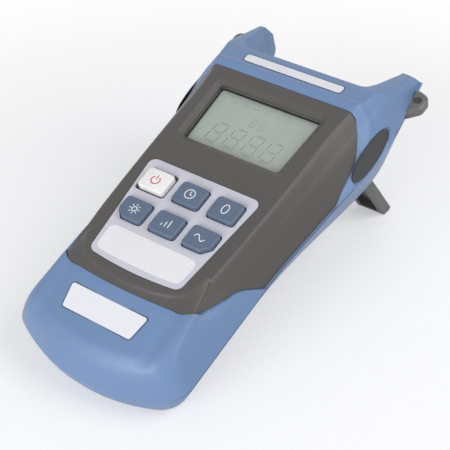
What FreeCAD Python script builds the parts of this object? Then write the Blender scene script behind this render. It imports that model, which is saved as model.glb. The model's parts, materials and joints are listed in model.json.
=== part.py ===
import FreeCAD, Part
import math
import os
from FreeCAD import Vector

# Handheld optical power meter, propped on its opened stand. Millimetres.
# Body frame: +X to the right of the keys, +Y towards the optical port, +Z out of the face.
# Back frame: the body frame turned to the sloping back, +Z inwards from the back plane.
# placeOnFloor() turns the finished body to lie on its rear edge and its stand.

# ---- housing ----
partingZ = -17.2            # plane where the front shells meet the rear case
wall = 2.2                  # moulded wall of the four shells
coverInset = 0.8            # the dark cover sits this far inside the blue shells
capRise = 0.8               # the blue caps stand this far above the cover's face
endRadius = 68.6            # plan radius of the bowed bottom end
hornTipY = 174.5            # far end of the two horns
hornRootY = 150.5           # end wall between the horns
hornGapHalf = 33.0          # half width of the bay between the horns
backAtEnd = 28.3            # depth of the back plane at the bottom end
backSlope = 4.0             # degrees by which the back deepens towards the head
capArmY = 62.0              # tip of the bottom cap's side arm
headArmY = 105.8            # tip of the top cap's side arm
coverLowY = 32.4            # dark cover's bottom edge on the centre line
coverHighY = 139.7          # dark cover's top edge
coverBow = 100.0            # plan radius of the dark cover's bottom edge
# bevel round the flat back: height above it, inset from the flank
bevelSteps = [(-1.0, 3.0), (0.5, 0.45), (2.6, -0.66)]

# half widths along the body: y, at the parting plane, at the face, lean of the rear flank
stations = [
    (60.0, 38.0, 28.6, 0.50),
    (97.0, 40.6, 30.6, 0.45),
    (122.0, 43.3, 31.8, 0.38),
    (140.0, 43.9, 33.4, 0.36),
    (158.0, 41.2, 34.4, 0.36),
    (182.0, 38.2, 34.0, 0.33),
]
# front levels: height, share of the flank's lean, y of the bowed end, corner radius
frontLevels = [
    (-17.2, 0.0, 0.0, 9.0),
    (-13.0, 0.20, 1.9, 9.0),
    (-9.0, 0.42, 4.2, 8.6),
    (-6.2, 0.60, 6.8, 8.2),
    (-4.6, 0.73, 11.0, 7.6),
    (-2.8, 0.87, 22.0, 6.8),
    (-1.2, 1.01, 32.5, 6.0),
    (0.0, 1.34, 37.2, 4.8),
]
# rear levels: depth below the parting plane, y of the bowed end, corner radius
rearLevels = [
    (0.0, 0.0, 9.0),
    (5.3, 0.5, 9.0),
    (12.3, 2.6, 8.6),
    (28.0, 9.0, 8.0),
]

# ---- finger recesses on the head's flanks ----
fingerLong = 27.8           # oval floor of the recess
fingerShort = 10.4
fingerTurn = 2.0
fingerFacing = 76.0         # degrees from straight up to the floor's outward normal
fingerX = 41.0              # centre of the floor
fingerY = 130.0
fingerZ = -14.5
fingerFlare = 0.85          # sideways growth of the recess per millimetre outwards
sealMargin = 0.4            # bare floor round the oval seal
sealThick = 0.3

# ---- display ----
windowTopY = 127.6
windowLowY = 98.6
windowTopHalf = 23.2
windowLowHalf = 21.7
windowDepth = 2.6           # top of the clear window below the face
bezelWidth = 2.3            # sloping margin round the window well
bezelDrop = 1.1
windowThick = 1.2
windowLap = 1.3             # how far the window reaches behind the cover's rim
panelThick = 2.6
windowCorner = 1.4
windowPlay = 0.15           # window and panel are this much smaller than their pocket
frameRim = 1.6

# ---- keypad ----
overlayTopY = 83.9
overlayLowY = 39.6
overlayTopHalf = 25.0
overlayLowHalf = 20.4
overlayBow = 1.6
overlayThick = 0.5
overlayProud = 0.2
rowOneY = 74.4
rowTwoY = 59.7
rowOnePitch = 15.7
rowTwoPitch = 15.1
keyWide = 11.6
keyTall = 9.4
keyProud = 1.7
keyTravel = 0.9
keyGap = 0.4                # clearance round a key in its hole
keyCorner = 1.5
keySlant = 3.2              # corner taken off the outer keys of the second row
keySoft = 0.45              # chamfer round a key's top
keyFlange = 0.9             # flange that keeps the key behind the cover
keyRest = 0.3               # play between the flange and the cover's underside
flangeLap = 0.7             # how far the flange reaches past the hole
stemHalf = 2.2
matThick = 1.0
matWide = 47.0
matTall = 26.0
domeTall = 1.2
domeBase = 4.4
domeHead = 2.8
powerFrame = 1.5            # bare dark frame round the power key

# ---- boards and cells ----
boardTopZ = -8.4
boardThick = 1.6
boardHalf = 26.0
boardStart = 16.0
boardEnd = 138.0
boardPosts = [(-21.5, 42.0), (21.5, 42.0), (-22.5, 91.0), (22.5, 91.0)]
postRadius = 2.6
casePosts = [(-19.0, 10.6), (19.0, 10.6), (-28.0, 144.6), (28.0, 144.6)]
casePostRadius = 3.2
screwThin = 1.1
screwThinHead = 2.1
screwThick = 1.35
screwHead = 2.6
screwSink = 1.2             # case screw heads sit this deep below the back
screwHeadTall = 2.0
screwClear = 0.15           # play round a screw in its clearance hole
cellRadius = 7.1
cellLength = 50.2
cellPitch = 14.5
boxStart = 17.5             # near end of the cell bay along the back
springRoom = 6.0
contactThick = 0.4
boxWall = 1.4
doorThick = 2.0
doorGap = 0.3
doorLedge = 1.5

# ---- stand ----
hingeV = 135.0              # hinge line along the back
hingeDepth = 2.7
legLength = 41.2            # hinge line to the inner edge of the soles
standHalf = 32.2
standSkin = 1.9
standRim = 2.2              # width of the side flanges and of the rim round the arch
standOuter = 2.4            # hinge line to the outer skin
standInner = 2.5            # hinge line to the flange edges at the foot
standRoot = 2.2             # radius of the bar round the hinge line
footWide = 12.8
archTop = 15.0              # hinge line to the top of the arch
standOpen = 114.0           # degrees from folded to the stop
standSide = 0.4
pinRadius = 1.25
pinInStand = 4.0
pinInWall = 2.2
runningFit = 0.05

# ---- port, lugs, plates ----
portZ = -18.4
portWell = 9.2
portFloorY = 144.2
flangeThick = 2.0
nippleRadius = 4.0
nippleLength = 6.6
portBore = 1.25
flangeRadius = 8.6
portScrewX = 6.6
portScrew = 0.8
portBack = 2.0              # thickness of the port pocket's floor
dustRadius = 5.4
dustLength = 8.4
dustGap = 1.5               # gap between the flange and the dust cap
lugY = 163.6
lugZ = -18.6
lugHoleX = 42.2
lugHoleRadius = 1.9
lugThick = 4.6
plateThick = 0.4
plateProud = 0.15
plateGap = 0.15
plateTopY = 143.6
plateTopHalf = 22.6
plateTopTall = 4.6
plateLowY = 20.4
plateLowHalf = 15.9
plateLowTall = 9.8
plateLowSlope = 9.0
plateLowZ = -3.2

bodyShapes = {}


def liftXY(z):
    return lambda u, v: Vector(u, v, z)


def liftYZ(x):
    return lambda u, v: Vector(x, u, v)


def loop(points, lift):
    """Closed wire through (u, v, radius) corners, each corner rounded by its radius."""
    corners = []
    count = len(points)
    for index, (u, v, radius) in enumerate(points):
        here = Vector(u, v, 0)
        if radius <= 0:
            corners.append((here, None, here))
            continue
        before = points[index - 1]
        after = points[(index + 1) % count]
        back = (Vector(before[0], before[1], 0) - here).normalize()
        ahead = (Vector(after[0], after[1], 0) - here).normalize()
        half = back.getAngle(ahead) / 2
        reach = radius / math.tan(half)
        bisector = (back + ahead).normalize()
        middle = here + bisector * (radius / math.sin(half) - radius)
        corners.append((here + back * reach, middle, here + ahead * reach))
    edges = []
    for index, (start, middle, end) in enumerate(corners):
        if middle is not None:
            arc = Part.Arc(lift(start.x, start.y), lift(middle.x, middle.y), lift(end.x, end.y))
            edges.append(arc.toShape())
        following = corners[(index + 1) % count][0]
        if (following - end).Length > 1e-6:
            line = Part.LineSegment(lift(end.x, end.y), lift(following.x, following.y))
            edges.append(line.toShape())
    return Part.Wire(edges)


def plate(points, low, high):
    """Plan outline raised from z = low to z = high."""
    return Part.Face(loop(points, liftXY(low))).extrude(Vector(0, 0, high - low))


def profile(points, left, right):
    """Side outline (y, z) drawn across from x = left to x = right."""
    return Part.Face(loop(points, liftYZ(left))).extrude(Vector(right - left, 0, 0))


def block(x0, x1, y0, y1, z0, z1):
    return Part.makeBox(x1 - x0, y1 - y0, z1 - z0, Vector(x0, y0, z0))


def mirrored(shape):
    return shape.mirror(Vector(0, 0, 0), Vector(1, 0, 0))


def bothSides(shape):
    return shape.fuse(mirrored(shape))


def tapered(lowPoints, highPoints, low, high):
    """Loft between two plan outlines with the same corners."""
    return Part.makeLoft([loop(lowPoints, liftXY(low)), loop(highPoints, liftXY(high))], True, True)


def facetted(rings):
    """Solid with flat faces between rings that have the same number of corners."""
    faces = [Part.Face(Part.makePolygon(ring + ring[:1])) for ring in (rings[0], rings[-1])]
    for low, high in zip(rings, rings[1:]):
        for index in range(len(low)):
            a, b, c, d = low[index - 1], low[index], high[index], high[index - 1]
            if abs((b - a).cross(d - a).normalize().dot(c - a)) < 1e-7:
                faces.append(Part.Face(Part.makePolygon([a, b, c, d, a])))
                continue
            faces.append(Part.Face(Part.makePolygon([a, b, c, a])))
            faces.append(Part.Face(Part.makePolygon([a, c, d, a])))
    solid = Part.Solid(Part.Shell(faces))
    if solid.Volume < 0:
        solid.reverse()
    return solid


def trapezoid(lowY, highY, lowHalf, highHalf, radius):
    return [(-lowHalf, lowY, radius), (lowHalf, lowY, radius),
            (highHalf, highY, radius), (-highHalf, highY, radius)]


def rectangle(x, y, wide, tall, radius):
    return [(x - wide / 2, y - tall / 2, radius), (x + wide / 2, y - tall / 2, radius),
            (x + wide / 2, y + tall / 2, radius), (x - wide / 2, y + tall / 2, radius)]


def fromBack(shape):
    """Carry a shape from the back frame to the body frame."""
    moved = shape.copy()
    moved.rotate(Vector(0, 0, 0), Vector(1, 0, 0), -backSlope)
    moved.translate(Vector(0, 0, -backAtEnd))
    return moved


def backDepth(y):
    return backAtEnd + y * math.tan(math.radians(backSlope))


# ---- housing form ----

def bodyOutline(z, halves, endY, radius):
    """Plan outline at one height: bowed end, round corners, flowing flanks."""
    startHalf = halves[0][0]
    centreY = endY + endRadius
    cornerY = centreY - math.sqrt((endRadius - radius) ** 2 - (startHalf - radius) ** 2)
    corner = Vector(startHalf - radius, cornerY, z)
    outward = (corner - Vector(0, centreY, z)).normalize()
    onEnd = Vector(0, centreY, z) + outward * endRadius
    turn = math.atan2(outward.y, outward.x) / 2
    middle = corner + Vector(math.cos(turn), math.sin(turn), 0) * radius
    side = [Vector(x, y, z) for x, y in halves]
    span = side[-1].y - side[0].y
    steps = [(point.y - side[0].y) / span for point in side]
    flank = Part.BSplineCurve()
    flank.interpolate(Points=side, Parameters=steps, InitialTangent=Vector(0, span, 0),
                      FinalTangent=(side[-1] - side[-2]) * (1 / (steps[-1] - steps[-2])))
    cornerEnd = Vector(startHalf, cornerY, z)
    right = [Part.Arc(onEnd, middle, cornerEnd).toShape(),
             Part.LineSegment(cornerEnd, side[0]).toShape(),
             flank.toShape()]
    left = Part.Wire(right).mirror(Vector(0, 0, 0), Vector(1, 0, 0)).Edges
    far = Part.LineSegment(side[-1], Vector(-side[-1].x, side[-1].y, z)).toShape()
    near = Part.Arc(Vector(-onEnd.x, onEnd.y, z), Vector(0, endY, z), onEnd).toShape()
    return Part.Wire(Part.__sortEdges__(right + [far] + left + [near]))


def frontWires(inset, lift, levels, outline):
    wires = []
    for z, share, endY, radius in levels:
        rise = 1 - z / partingZ
        level = z - inset * rise + lift * rise ** 4
        halves = [(w - (w - f) * share - inset, y) for y, w, f, s in stations]
        wires.append(outline(level, halves, endY + inset, radius - inset / 2))
    return wires


def rearWires(inset, levels, outline):
    wires = []
    for drop, endY, radius in levels:
        halves = [(w - s * drop - inset, y) for y, w, f, s in stations]
        wires.append(outline(partingZ - drop, halves, endY + inset, radius - inset / 2))
    return wires


def frontForm(inset, lift):
    """Front of the housing, its face lifted by an amount that fades to the parting plane."""
    return Part.makeLoft(frontWires(inset, lift, frontLevels, bodyOutline), True, True)


def rearForm():
    return Part.makeLoft(rearWires(0, rearLevels, bodyOutline), True, True)


def roomOutline(z, halves, endY, radius):
    """The body outline with straight sides, for the inside of the shells."""
    startHalf = halves[0][0]
    centreY = endY + endRadius
    cornerY = centreY - math.sqrt((endRadius - radius) ** 2 - (startHalf - radius) ** 2)
    turn = math.atan2(cornerY - centreY, startHalf - radius)
    right = []
    for share in (0.3, 0.72):
        angle = -math.pi / 2 + (turn + math.pi / 2) * share
        right.append((endRadius * math.cos(angle), centreY + endRadius * math.sin(angle)))
    for share in (0.9, 0.45, 0):
        angle = turn * share
        right.append((startHalf - radius + radius * math.cos(angle),
                      cornerY + radius * math.sin(angle)))
    right += halves
    left = [(-x, y) for x, y in reversed(right)]
    return [Vector(x, y, z) for x, y in right + left]


def frontRoom():
    return facetted(frontWires(wall, capRise, frontLevels[::2] + frontLevels[-1:], roomOutline))


def rearRoom():
    return facetted(rearWires(wall, rearLevels[::2] + rearLevels[-1:], roomOutline))


def backBevel():
    """Cutter that takes the sharp edge off round the flat back, in two slopes."""
    slope = math.radians(backSlope)
    wires = []
    for lift, inset in bevelSteps:
        halves = []
        for y, w, f, s in stations:
            drop = backDepth(y) + partingZ - lift
            halves.append((w - s * drop - inset, y / math.cos(slope)))
        wires.append(bodyOutline(lift, halves, backEnd(lift) + inset, rearLevels[-1][2]))
    inner = Part.makeLoft(wires, True, True)
    slab = block(-60, 60, -20, 200, bevelSteps[0][0], bevelSteps[-1][0])
    return fromBack(slab.cut(inner))


def backEnd(lift):
    """Where the bowed end meets a plane parallel to the back, along the back."""
    depth1, end1, radius1 = rearLevels[1]
    depth2, end2, radius2 = rearLevels[2]
    lean = (end2 - end1) / (depth2 - depth1)
    slope = math.tan(math.radians(backSlope))
    base = backAtEnd + partingZ - lift - depth1
    return (end1 + lean * base) / (1 - lean * slope)


def sideForm(inset, backInset):
    """Side view of the whole housing: level face, falling horns, sloping back."""
    top = capRise - inset
    back = -backDepth(0) + backInset
    slope = math.tan(math.radians(backSlope))
    points = [
        (-20.0, top, 0),
        (146.0, top, 9.0),
        (170.3 - inset, -11.4 - inset, 2.5),
        (hornTipY - inset, -19.0, 2.0),
        (hornTipY - inset, -28.5, 4.0),
        (163.0, back - 163.0 * slope + 3.0, 9.0),
        (151.0, back - 151.0 * slope, 9.0),
        (-20.0, back + 20.0 * slope, 0),
    ]
    return profile(points, -60, 60)


def portBay(grow):
    """Bay between the horns, open to the far end."""
    half = hornGapHalf + grow
    root = hornRootY - grow
    points = [
        (-half, hornTipY + 8, 0), (-half + 0.4, 168.0, 8.0),
        (-half + 2.4, root + 5.5, 5.0), (-half + 4.5, root, 4.0),
        (half - 4.5, root, 4.0), (half - 2.4, root + 5.5, 5.0),
        (half - 0.4, 168.0, 8.0), (half, hornTipY + 8, 0),
    ]
    return plate(points, -60, 10)


def bottomCapZone():
    """Everything below the cover's bowed bottom edge, with the arms along the flanks."""
    far = Part.makeCylinder(coverBow, 80, Vector(0, coverLowY + coverBow, -60))
    low = block(-60, 60, -20, coverLowY + 15, -60, 10).cut(far)
    arm = profile([(-20, -60, 0), (-20, -4.6, 0), (36.5, -4.6, 3.0), (53.5, -9.6, 14.0),
                   (capArmY, partingZ, 0), (capArmY, -60, 0)], -60, 60)
    return low.fuse(arm)


def topCapZone():
    """Everything above the cover's top edge, with the arms along the flanks."""
    side = profile([(220, -60, 0), (220, 10, 0), (coverHighY, 10, 0), (coverHighY, -2.0, 3.0),
                    (134.6, -5.0, 4.0), (124.5, -11.6, 9.0), (112.5, -14.6, 9.0),
                    (headArmY, partingZ, 0), (headArmY, -60, 0)], -60, 60)
    plan = plate([(60, 117, 0), (33.5, coverHighY, 9.0), (-33.5, coverHighY, 9.0), (-60, 117, 0),
                  (-60, 220, 0), (60, 220, 0)], -60, 10)
    return side.fuse(plan)


def ovalAt(grow, level):
    oval = Part.Ellipse(Vector(0, 0, level), fingerLong / 2 + grow, fingerShort / 2 + grow)
    return Part.Wire([oval.toShape()])


def onFlank(shape):
    """Carry a shape from the finger recess's floor to the right flank."""
    moved = shape.copy()
    moved.rotate(Vector(0, 0, 0), Vector(0, 0, 1), 90 + fingerTurn)
    moved.rotate(Vector(0, 0, 0), Vector(0, 1, 0), fingerFacing)
    moved.translate(Vector(fingerX, fingerY, fingerZ))
    return moved


def fingerScoop():
    """Oval recess with flared walls."""
    high = 7.0
    return onFlank(Part.makeLoft([ovalAt(0, 0), ovalAt(high * fingerFlare, high)], True, True))


def fingerBacking():
    """Flat-sided block behind the recess that keeps the wall whole round it."""
    rings = []
    for level, grow in ((-1.8, 1.2), (7.0, 1.2 + 8.8 * fingerFlare)):
        long = fingerLong / 2 + grow
        short = fingerShort / 2 + grow
        points = [(long, -short * 0.4), (long, short * 0.4), (long * 0.6, short),
                  (-long * 0.6, short), (-long, short * 0.4), (-long, -short * 0.4),
                  (-long * 0.6, -short), (long * 0.6, -short)]
        rings.append([Vector(u, v, level) for u, v in points])
    return onFlank(facetted(rings))


def ring(radius, bore, y0, y1, z):
    """Tube along +Y."""
    outer = Part.makeCylinder(radius, y1 - y0, Vector(0, y0, z), Vector(0, 1, 0))
    if bore <= 0:
        return outer
    return outer.cut(Part.makeCylinder(bore, y1 - y0 + 2, Vector(0, y0 - 1, z), Vector(0, 1, 0)))


def pin(x, y, radius, low, high):
    return Part.makeCylinder(radius, high - low, Vector(x, y, low))


def pins(places, radius, low, high):
    solids = [pin(x, y, radius, low, high) for x, y in places]
    return solids[0].multiFuse(solids[1:])


# ---- display pieces ----

def windowOutline(grow, corner=0):
    """Outline round the display; corner 0 leaves it square."""
    return trapezoid(windowLowY - grow, windowTopY + grow, windowLowHalf + grow,
                     windowTopHalf + grow, corner)


def displayWell():
    """Sloping bezel, upright well and the pocket the window drops into from behind."""
    well = plate(windowOutline(0, windowCorner), -windowDepth - 2, 1)
    spread = windowOutline(bezelWidth, windowCorner + bezelWidth * 0.6)
    bezel = tapered(windowOutline(0, windowCorner), spread, -bezelDrop, 0)
    pocket = plate(windowOutline(windowLap), -panelBottom(), -windowDepth)
    return well.multiFuse([bezel, plate(spread, 0, 1), pocket])


def panelBottom():
    return windowDepth + windowThick + panelThick


def displayRim():
    """Wall behind the cover that holds the window and the panel."""
    return plate(windowOutline(windowLap + 1.2), -windowDepth - windowThick - 0.8, -wall + capRise)


def makeDisplay():
    seat = windowDepth + windowThick
    pane = windowOutline(windowLap - windowPlay)
    bodyShapes["display_window"] = plate(pane, -seat, -windowDepth)
    bodyShapes["display_panel"] = plate(pane, -panelBottom(), -seat)
    rimTop = -seat - 1.0
    tray = plate(windowOutline(windowLap + frameRim + 0.1), boardTopZ, rimTop)
    tray = tray.cut(plate(windowOutline(windowLap), -panelBottom(), 0))
    bodyShapes["display_frame"] = tray
    low = windowLowY - windowLap - frameRim - 0.1
    header = block(-13, 13, low - 4.2, low, boardTopZ, boardTopZ + 2.4)
    header = header.cut(block(-12, 12, low - 3.4, low - 2.2, boardTopZ + 1, boardTopZ + 3))
    latch = block(-12, 12, low - 3.4, low - 2.2, boardTopZ + 1, boardTopZ + 2.9)
    bodyShapes["display_connector"] = header.fuse(latch)


# ---- keypad pieces ----

def overlayOutline(grow, low, high):
    """Trapezoid with a gently bowed lower edge and round corners."""
    bow = 22.0 ** 2 / (2 * overlayBow)
    sheet = plate(trapezoid(overlayLowY - 3, overlayTopY + grow, overlayLowHalf - 0.3 + grow,
                            overlayTopHalf + grow, 0.01), low, high)
    sheet = sheet.common(Part.makeCylinder(bow, high - low, Vector(0, overlayLowY - grow + bow, low)))
    upright = [edge for edge in sheet.Edges if abs(edge.BoundBox.ZLength - (high - low)) < 1e-3]
    corners = [edge for edge in upright if abs(edge.BoundBox.Center.x) > 10]
    return sheet.makeFillet(3.0 + grow, corners)


def keyPlaces():
    rows = []
    for name, column in (("power_key", -1), ("key_timer", 0), ("key_zero", 1)):
        rows.append((name, column * rowOnePitch, rowOneY, 0))
    for name, column in (("key_light", -1), ("key_level", 0), ("key_wave", 1)):
        rows.append((name, column * rowTwoPitch, rowTwoY, column))
    return rows


def keyOutline(x, y, slant, grow):
    """Rounded key; the outer keys of the second row lose their lower outer corner."""
    wide = keyWide / 2 + grow
    tall = keyTall / 2 + grow
    left = wide - (keySlant if slant < 0 else 0)
    right = wide - (keySlant if slant > 0 else 0)
    points = [(x - left, y - tall, keyCorner), (x + right, y - tall, keyCorner)]
    if slant > 0:
        points.append((x + wide, y - tall + keySlant, keyCorner))
    points.append((x + wide, y + tall, keyCorner))
    points.append((x - wide, y + tall, keyCorner))
    if slant < 0:
        points.append((x - wide, y - tall + keySlant, keyCorner))
    return points


def keyHoles(low, high):
    cuts = [plate(keyOutline(x, y, slant, keyGap), low, high) for name, x, y, slant in keyPlaces()]
    return cuts[0].multiFuse(cuts[1:])


def makeKeys():
    rest = -wall + capRise - keyRest
    top = overlayProud + keyProud
    lap = 2 * (keyGap + flangeLap)
    for name, x, y, slant in keyPlaces():
        body = plate(keyOutline(x, y, slant, 0), rest, top)
        rim = [edge for edge in body.Edges if edge.BoundBox.ZMin > top - 1e-3]
        body = body.makeChamfer(keySoft, rim)
        flange = plate(rectangle(x, y, keyWide + lap, keyTall + lap, 0), rest - keyFlange, rest)
        stem = block(x - stemHalf, x + stemHalf, y - stemHalf, y + stemHalf,
                     domeTop() + keyTravel + keyRest, rest - keyFlange)
        bodyShapes[name] = body.multiFuse([flange, stem])
    mat = plate(rectangle(0, (rowOneY + rowTwoY) / 2, matWide, matTall, 0),
                boardTopZ, boardTopZ + matThick)
    domes = [dome(x, y) for name, x, y, slant in keyPlaces()]
    bodyShapes["keypad_mat"] = mat.multiFuse(domes)
    sheet = overlayOutline(0, overlayProud - overlayThick, overlayProud)
    sheet = sheet.cut(keyHoles(-2, 2))
    frame = rectangle(-rowOnePitch, rowOneY, keyWide + 2 * powerFrame, keyTall + 2 * powerFrame, 2.2)
    bodyShapes["keypad_overlay"] = sheet.cut(plate(frame, -2, 2))


def eightSides(x, y, radius):
    """Regular octagon with its flats square to the axes."""
    corners = []
    for index in range(8):
        angle = math.radians(22.5 + 45 * index)
        corners.append((x + radius * math.cos(angle), y + radius * math.sin(angle), 0))
    return corners


def dome(x, y):
    """Rubber dome under a key, as an eight-sided frustum."""
    rings = []
    for radius, level in ((domeBase, boardTopZ + matThick), (domeHead, domeTop())):
        rings.append([Vector(u, v, level) for u, v, rounding in eightSides(x, y, radius)])
    return facetted(rings)


def domeTop():
    return boardTopZ + matThick + domeTall


# ---- boards ----

def crossSlot(x, y, half, thin, low, high):
    """Cross recess of a screw head, as one outline."""
    quarter = [(half, -thin), (half, thin), (thin, thin)]
    corners = []
    for turn in range(4):
        cos, sin = (1, 0, -1, 0)[turn], (0, 1, 0, -1)[turn]
        corners += [(x + u * cos - v * sin, y + u * sin + v * cos, 0) for u, v in quarter]
    return plate(corners, low, high)


def makeBoard():
    low = boardTopZ - boardThick
    shoulder = boardStart + 10
    points = [(-boardHalf + 6, boardStart, 0), (boardHalf - 6, boardStart, 0),
              (boardHalf, shoulder, 0), (boardHalf, boardEnd, 0),
              (-boardHalf, boardEnd, 0), (-boardHalf, shoulder, 0)]
    board = plate(points, low, boardTopZ)
    bodyShapes["main_board"] = board.cut(pins(boardPosts, screwThin + screwClear,
                                              low - 1, boardTopZ + 1))
    screws = []
    for x, y in boardPosts:
        head = pin(x, y, screwThinHead, low - 1.3, low)
        recess = crossSlot(x, y, 1.3, 0.3, low - 2, low - 0.7)
        screws.append(head.fuse(pin(x, y, screwThin, low, low + 6.0)).cut(recess))
    bodyShapes["board_screws"] = Part.makeCompound(screws)
    chips = [
        block(-17, -3, 96, 110, low - 1.6, low),
        block(6, 16, 108, 114, low - 1.5, low),
        block(9, 16, 94, 101, low - 3.6, low),
        block(-20, -16, 84, 90, low - 3.2, low),
        plate(eightSides(-14, 123, 3.2), low - 6.5, low),
        plate(eightSides(11, 126, 5.6), low - 4.6, low),
    ]
    bodyShapes["board_chips"] = Part.makeCompound(chips)


def caseScrewFloor(y):
    """Height of the seat under a case screw's head."""
    return -backDepth(y) + screwSink + screwHeadTall


def makeCaseScrews():
    screws = []
    for x, y in casePosts:
        seat = caseScrewFloor(y)
        under = seat - screwHeadTall
        recess = crossSlot(x, y, 1.7, 0.4, under - 1, under + 1)
        screws.append(pin(x, y, screwHead, under, seat).fuse(
            pin(x, y, screwThick, seat, partingZ + 5.5)).cut(recess))
    bodyShapes["case_screws"] = Part.makeCompound(screws)


# ---- cell bay, in the back frame ----

def bayHalf():
    return cellPitch + cellRadius + 0.3


def bayEnd():
    return boxStart + springRoom + cellLength + contactThick + 0.3


def cellLevel():
    return doorThick + 0.6 + cellRadius


def bayTop():
    return cellLevel() + cellRadius + 0.4


def doorOutline(grow):
    half = bayHalf() + doorLedge + grow
    return [(-half, boxStart - doorLedge - grow, 2), (half, boxStart - doorLedge - grow, 2),
            (half, bayEnd() + doorLedge + grow, 2), (-half, bayEnd() + doorLedge + grow, 2)]


def bayBox():
    half = bayHalf() + boxWall
    box = block(-half, half, boxStart - boxWall, bayEnd() + boxWall, 0, bayTop() + boxWall)
    rim = plate(doorOutline(doorGap + 1.2), 0, doorThick + 1.6)
    return box.fuse(rim)


def bayRoom():
    room = block(-bayHalf(), bayHalf(), boxStart, bayEnd(), -1, bayTop())
    seat = plate(doorOutline(doorGap), -1, doorThick)
    tongues = []
    for x in (-14, 14):
        tongues.append(block(x - 4.4, x + 4.4, boxStart - doorLedge - 1.8, boxStart + 0.1,
                             0.6, doorThick + 2.2))
    return room.multiFuse([seat] + tongues)


def makeDoor():
    low = boxStart - doorLedge
    door = plate(doorOutline(0), 0, doorThick)
    for x in (-14, 14):
        door = door.fuse(block(x - 4, x + 4, low - 1.4, low + 2, 1.0, doorThick + 0.4))
    hook = profile([(bayEnd() - 1.4, doorThick, 0), (bayEnd() - 0.3, doorThick, 0),
                    (bayEnd() - 0.3, doorThick + 3.0, 0), (bayEnd() - 1.4, doorThick + 3.0, 0)],
                   -5, 5)
    grip = [block(-7, 7, bayEnd() - 6.0 + 2.0 * index, bayEnd() - 5.0 + 2.0 * index, -1, 0.5)
            for index in range(3)]
    door = door.fuse(hook).cut(grip[0].multiFuse(grip[1:]))
    bodyShapes["battery_door"] = fromBack(door)


def cell(x, turned):
    """One round cell lying along the back; turned cells face the bottom end."""
    near = boxStart + springRoom
    level = cellLevel()
    can = Part.makeCylinder(cellRadius - 0.05, cellLength - 1.2, Vector(x, near, level),
                            Vector(0, 1, 0))
    tip = Part.makeCylinder(2.7, 1.3, Vector(x, near + cellLength - 1.3, level), Vector(0, 1, 0))
    whole = can.fuse(tip)
    return turnEnd(whole) if turned else whole


def turnEnd(shape):
    """Mirror a piece of the bay end for end."""
    return shape.mirror(Vector(0, (boxStart + bayEnd()) / 2, 0), Vector(0, 1, 0))


def leafSpring(x):
    v = boxStart
    w = cellLevel() - 4.4
    strip = [(0, 0), (0.4, 0), (0.4, 8.2), (5.6, 5.4), (5.6, 3.3), (3.2, 1.8), (3.4, 1.4),
             (6.0, 3.05), (6.0, 5.65), (0.35, 8.75), (0, 8.75)]
    scale = springRoom / 6.0
    points = [(v + a * scale, w + b, 0) for a, b in strip]
    return profile(points, x - 3.2, x + 3.2)


def contactPlate(x):
    end = bayEnd()
    return block(x - 5, x + 5, end - contactThick, end, cellLevel() - 5, cellLevel() + 5)


def makeCells():
    for name, x, turned in (("cell_left", -cellPitch, False), ("cell_middle", 0, True),
                            ("cell_right", cellPitch, False)):
        bodyShapes[name] = fromBack(cell(x, turned))
    springs = [leafSpring(-cellPitch), turnEnd(leafSpring(0)), leafSpring(cellPitch)]
    plates = [contactPlate(-cellPitch), turnEnd(contactPlate(0)), contactPlate(cellPitch)]
    bodyShapes["contact_springs"] = Part.makeCompound([fromBack(item) for item in springs])
    bodyShapes["contact_plates"] = Part.makeCompound([fromBack(item) for item in plates])


# ---- stand ----

def hingePoint():
    """Hinge line in the body frame: y and z."""
    angle = math.radians(backSlope)
    return (hingeV * math.cos(angle) + hingeDepth * math.sin(angle),
            -backAtEnd - hingeV * math.sin(angle) + hingeDepth * math.cos(angle))


def legLean():
    """Lean of the opened leg from the body's -Z towards the head, radians."""
    return math.radians(standOpen - 90 - backSlope)


def rearEdge():
    """Foremost point of the flat back, where the bevel starts: y and z."""
    (low, lowInset), (high, highInset) = bevelSteps[:2]
    share = -low / (high - low)
    ends = [backEnd(low) + lowInset, backEnd(high) + highInset]
    edge = fromBack(Part.Vertex(0, ends[0] + (ends[1] - ends[0]) * share, 0))
    return edge.Point.y, edge.Point.z


def bodyTilt():
    """Angle at which rear edge and soles share the floor, radians."""
    hingeY, hingeZ = hingePoint()
    lean = legLean()
    footY = hingeY + legLength * math.sin(lean) - standInner * math.cos(lean)
    footZ = hingeZ - legLength * math.cos(lean) - standInner * math.sin(lean)
    edgeY, edgeZ = rearEdge()
    return math.atan2(edgeZ - footZ, footY - edgeY)


def standEnd():
    """How much further the sole reaches along the outer skin."""
    return (standInner + standOuter) * math.tan(legLean() + bodyTilt())


def archOutline(grow):
    """Arch between the feet, in the stand's own plan (x, distance from the hinge)."""
    half = standHalf - footWide
    far = legLength + 20
    return [(-half - 1.5 - grow, far, 0), (-half + 1.5 - grow, archTop - grow, 7.0),
            (half - 1.5 + grow, archTop - grow, 7.0), (half + 1.5 + grow, far, 0)]


def standPlan(grow):
    return [(-standHalf - grow, -standRoot - grow, 1.5), (standHalf + grow, -standRoot - grow, 1.5),
            (standHalf + grow, legLength + standEnd() + grow, 1.5),
            (-standHalf - grow, legLength + standEnd() + grow, 1.5)]


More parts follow.
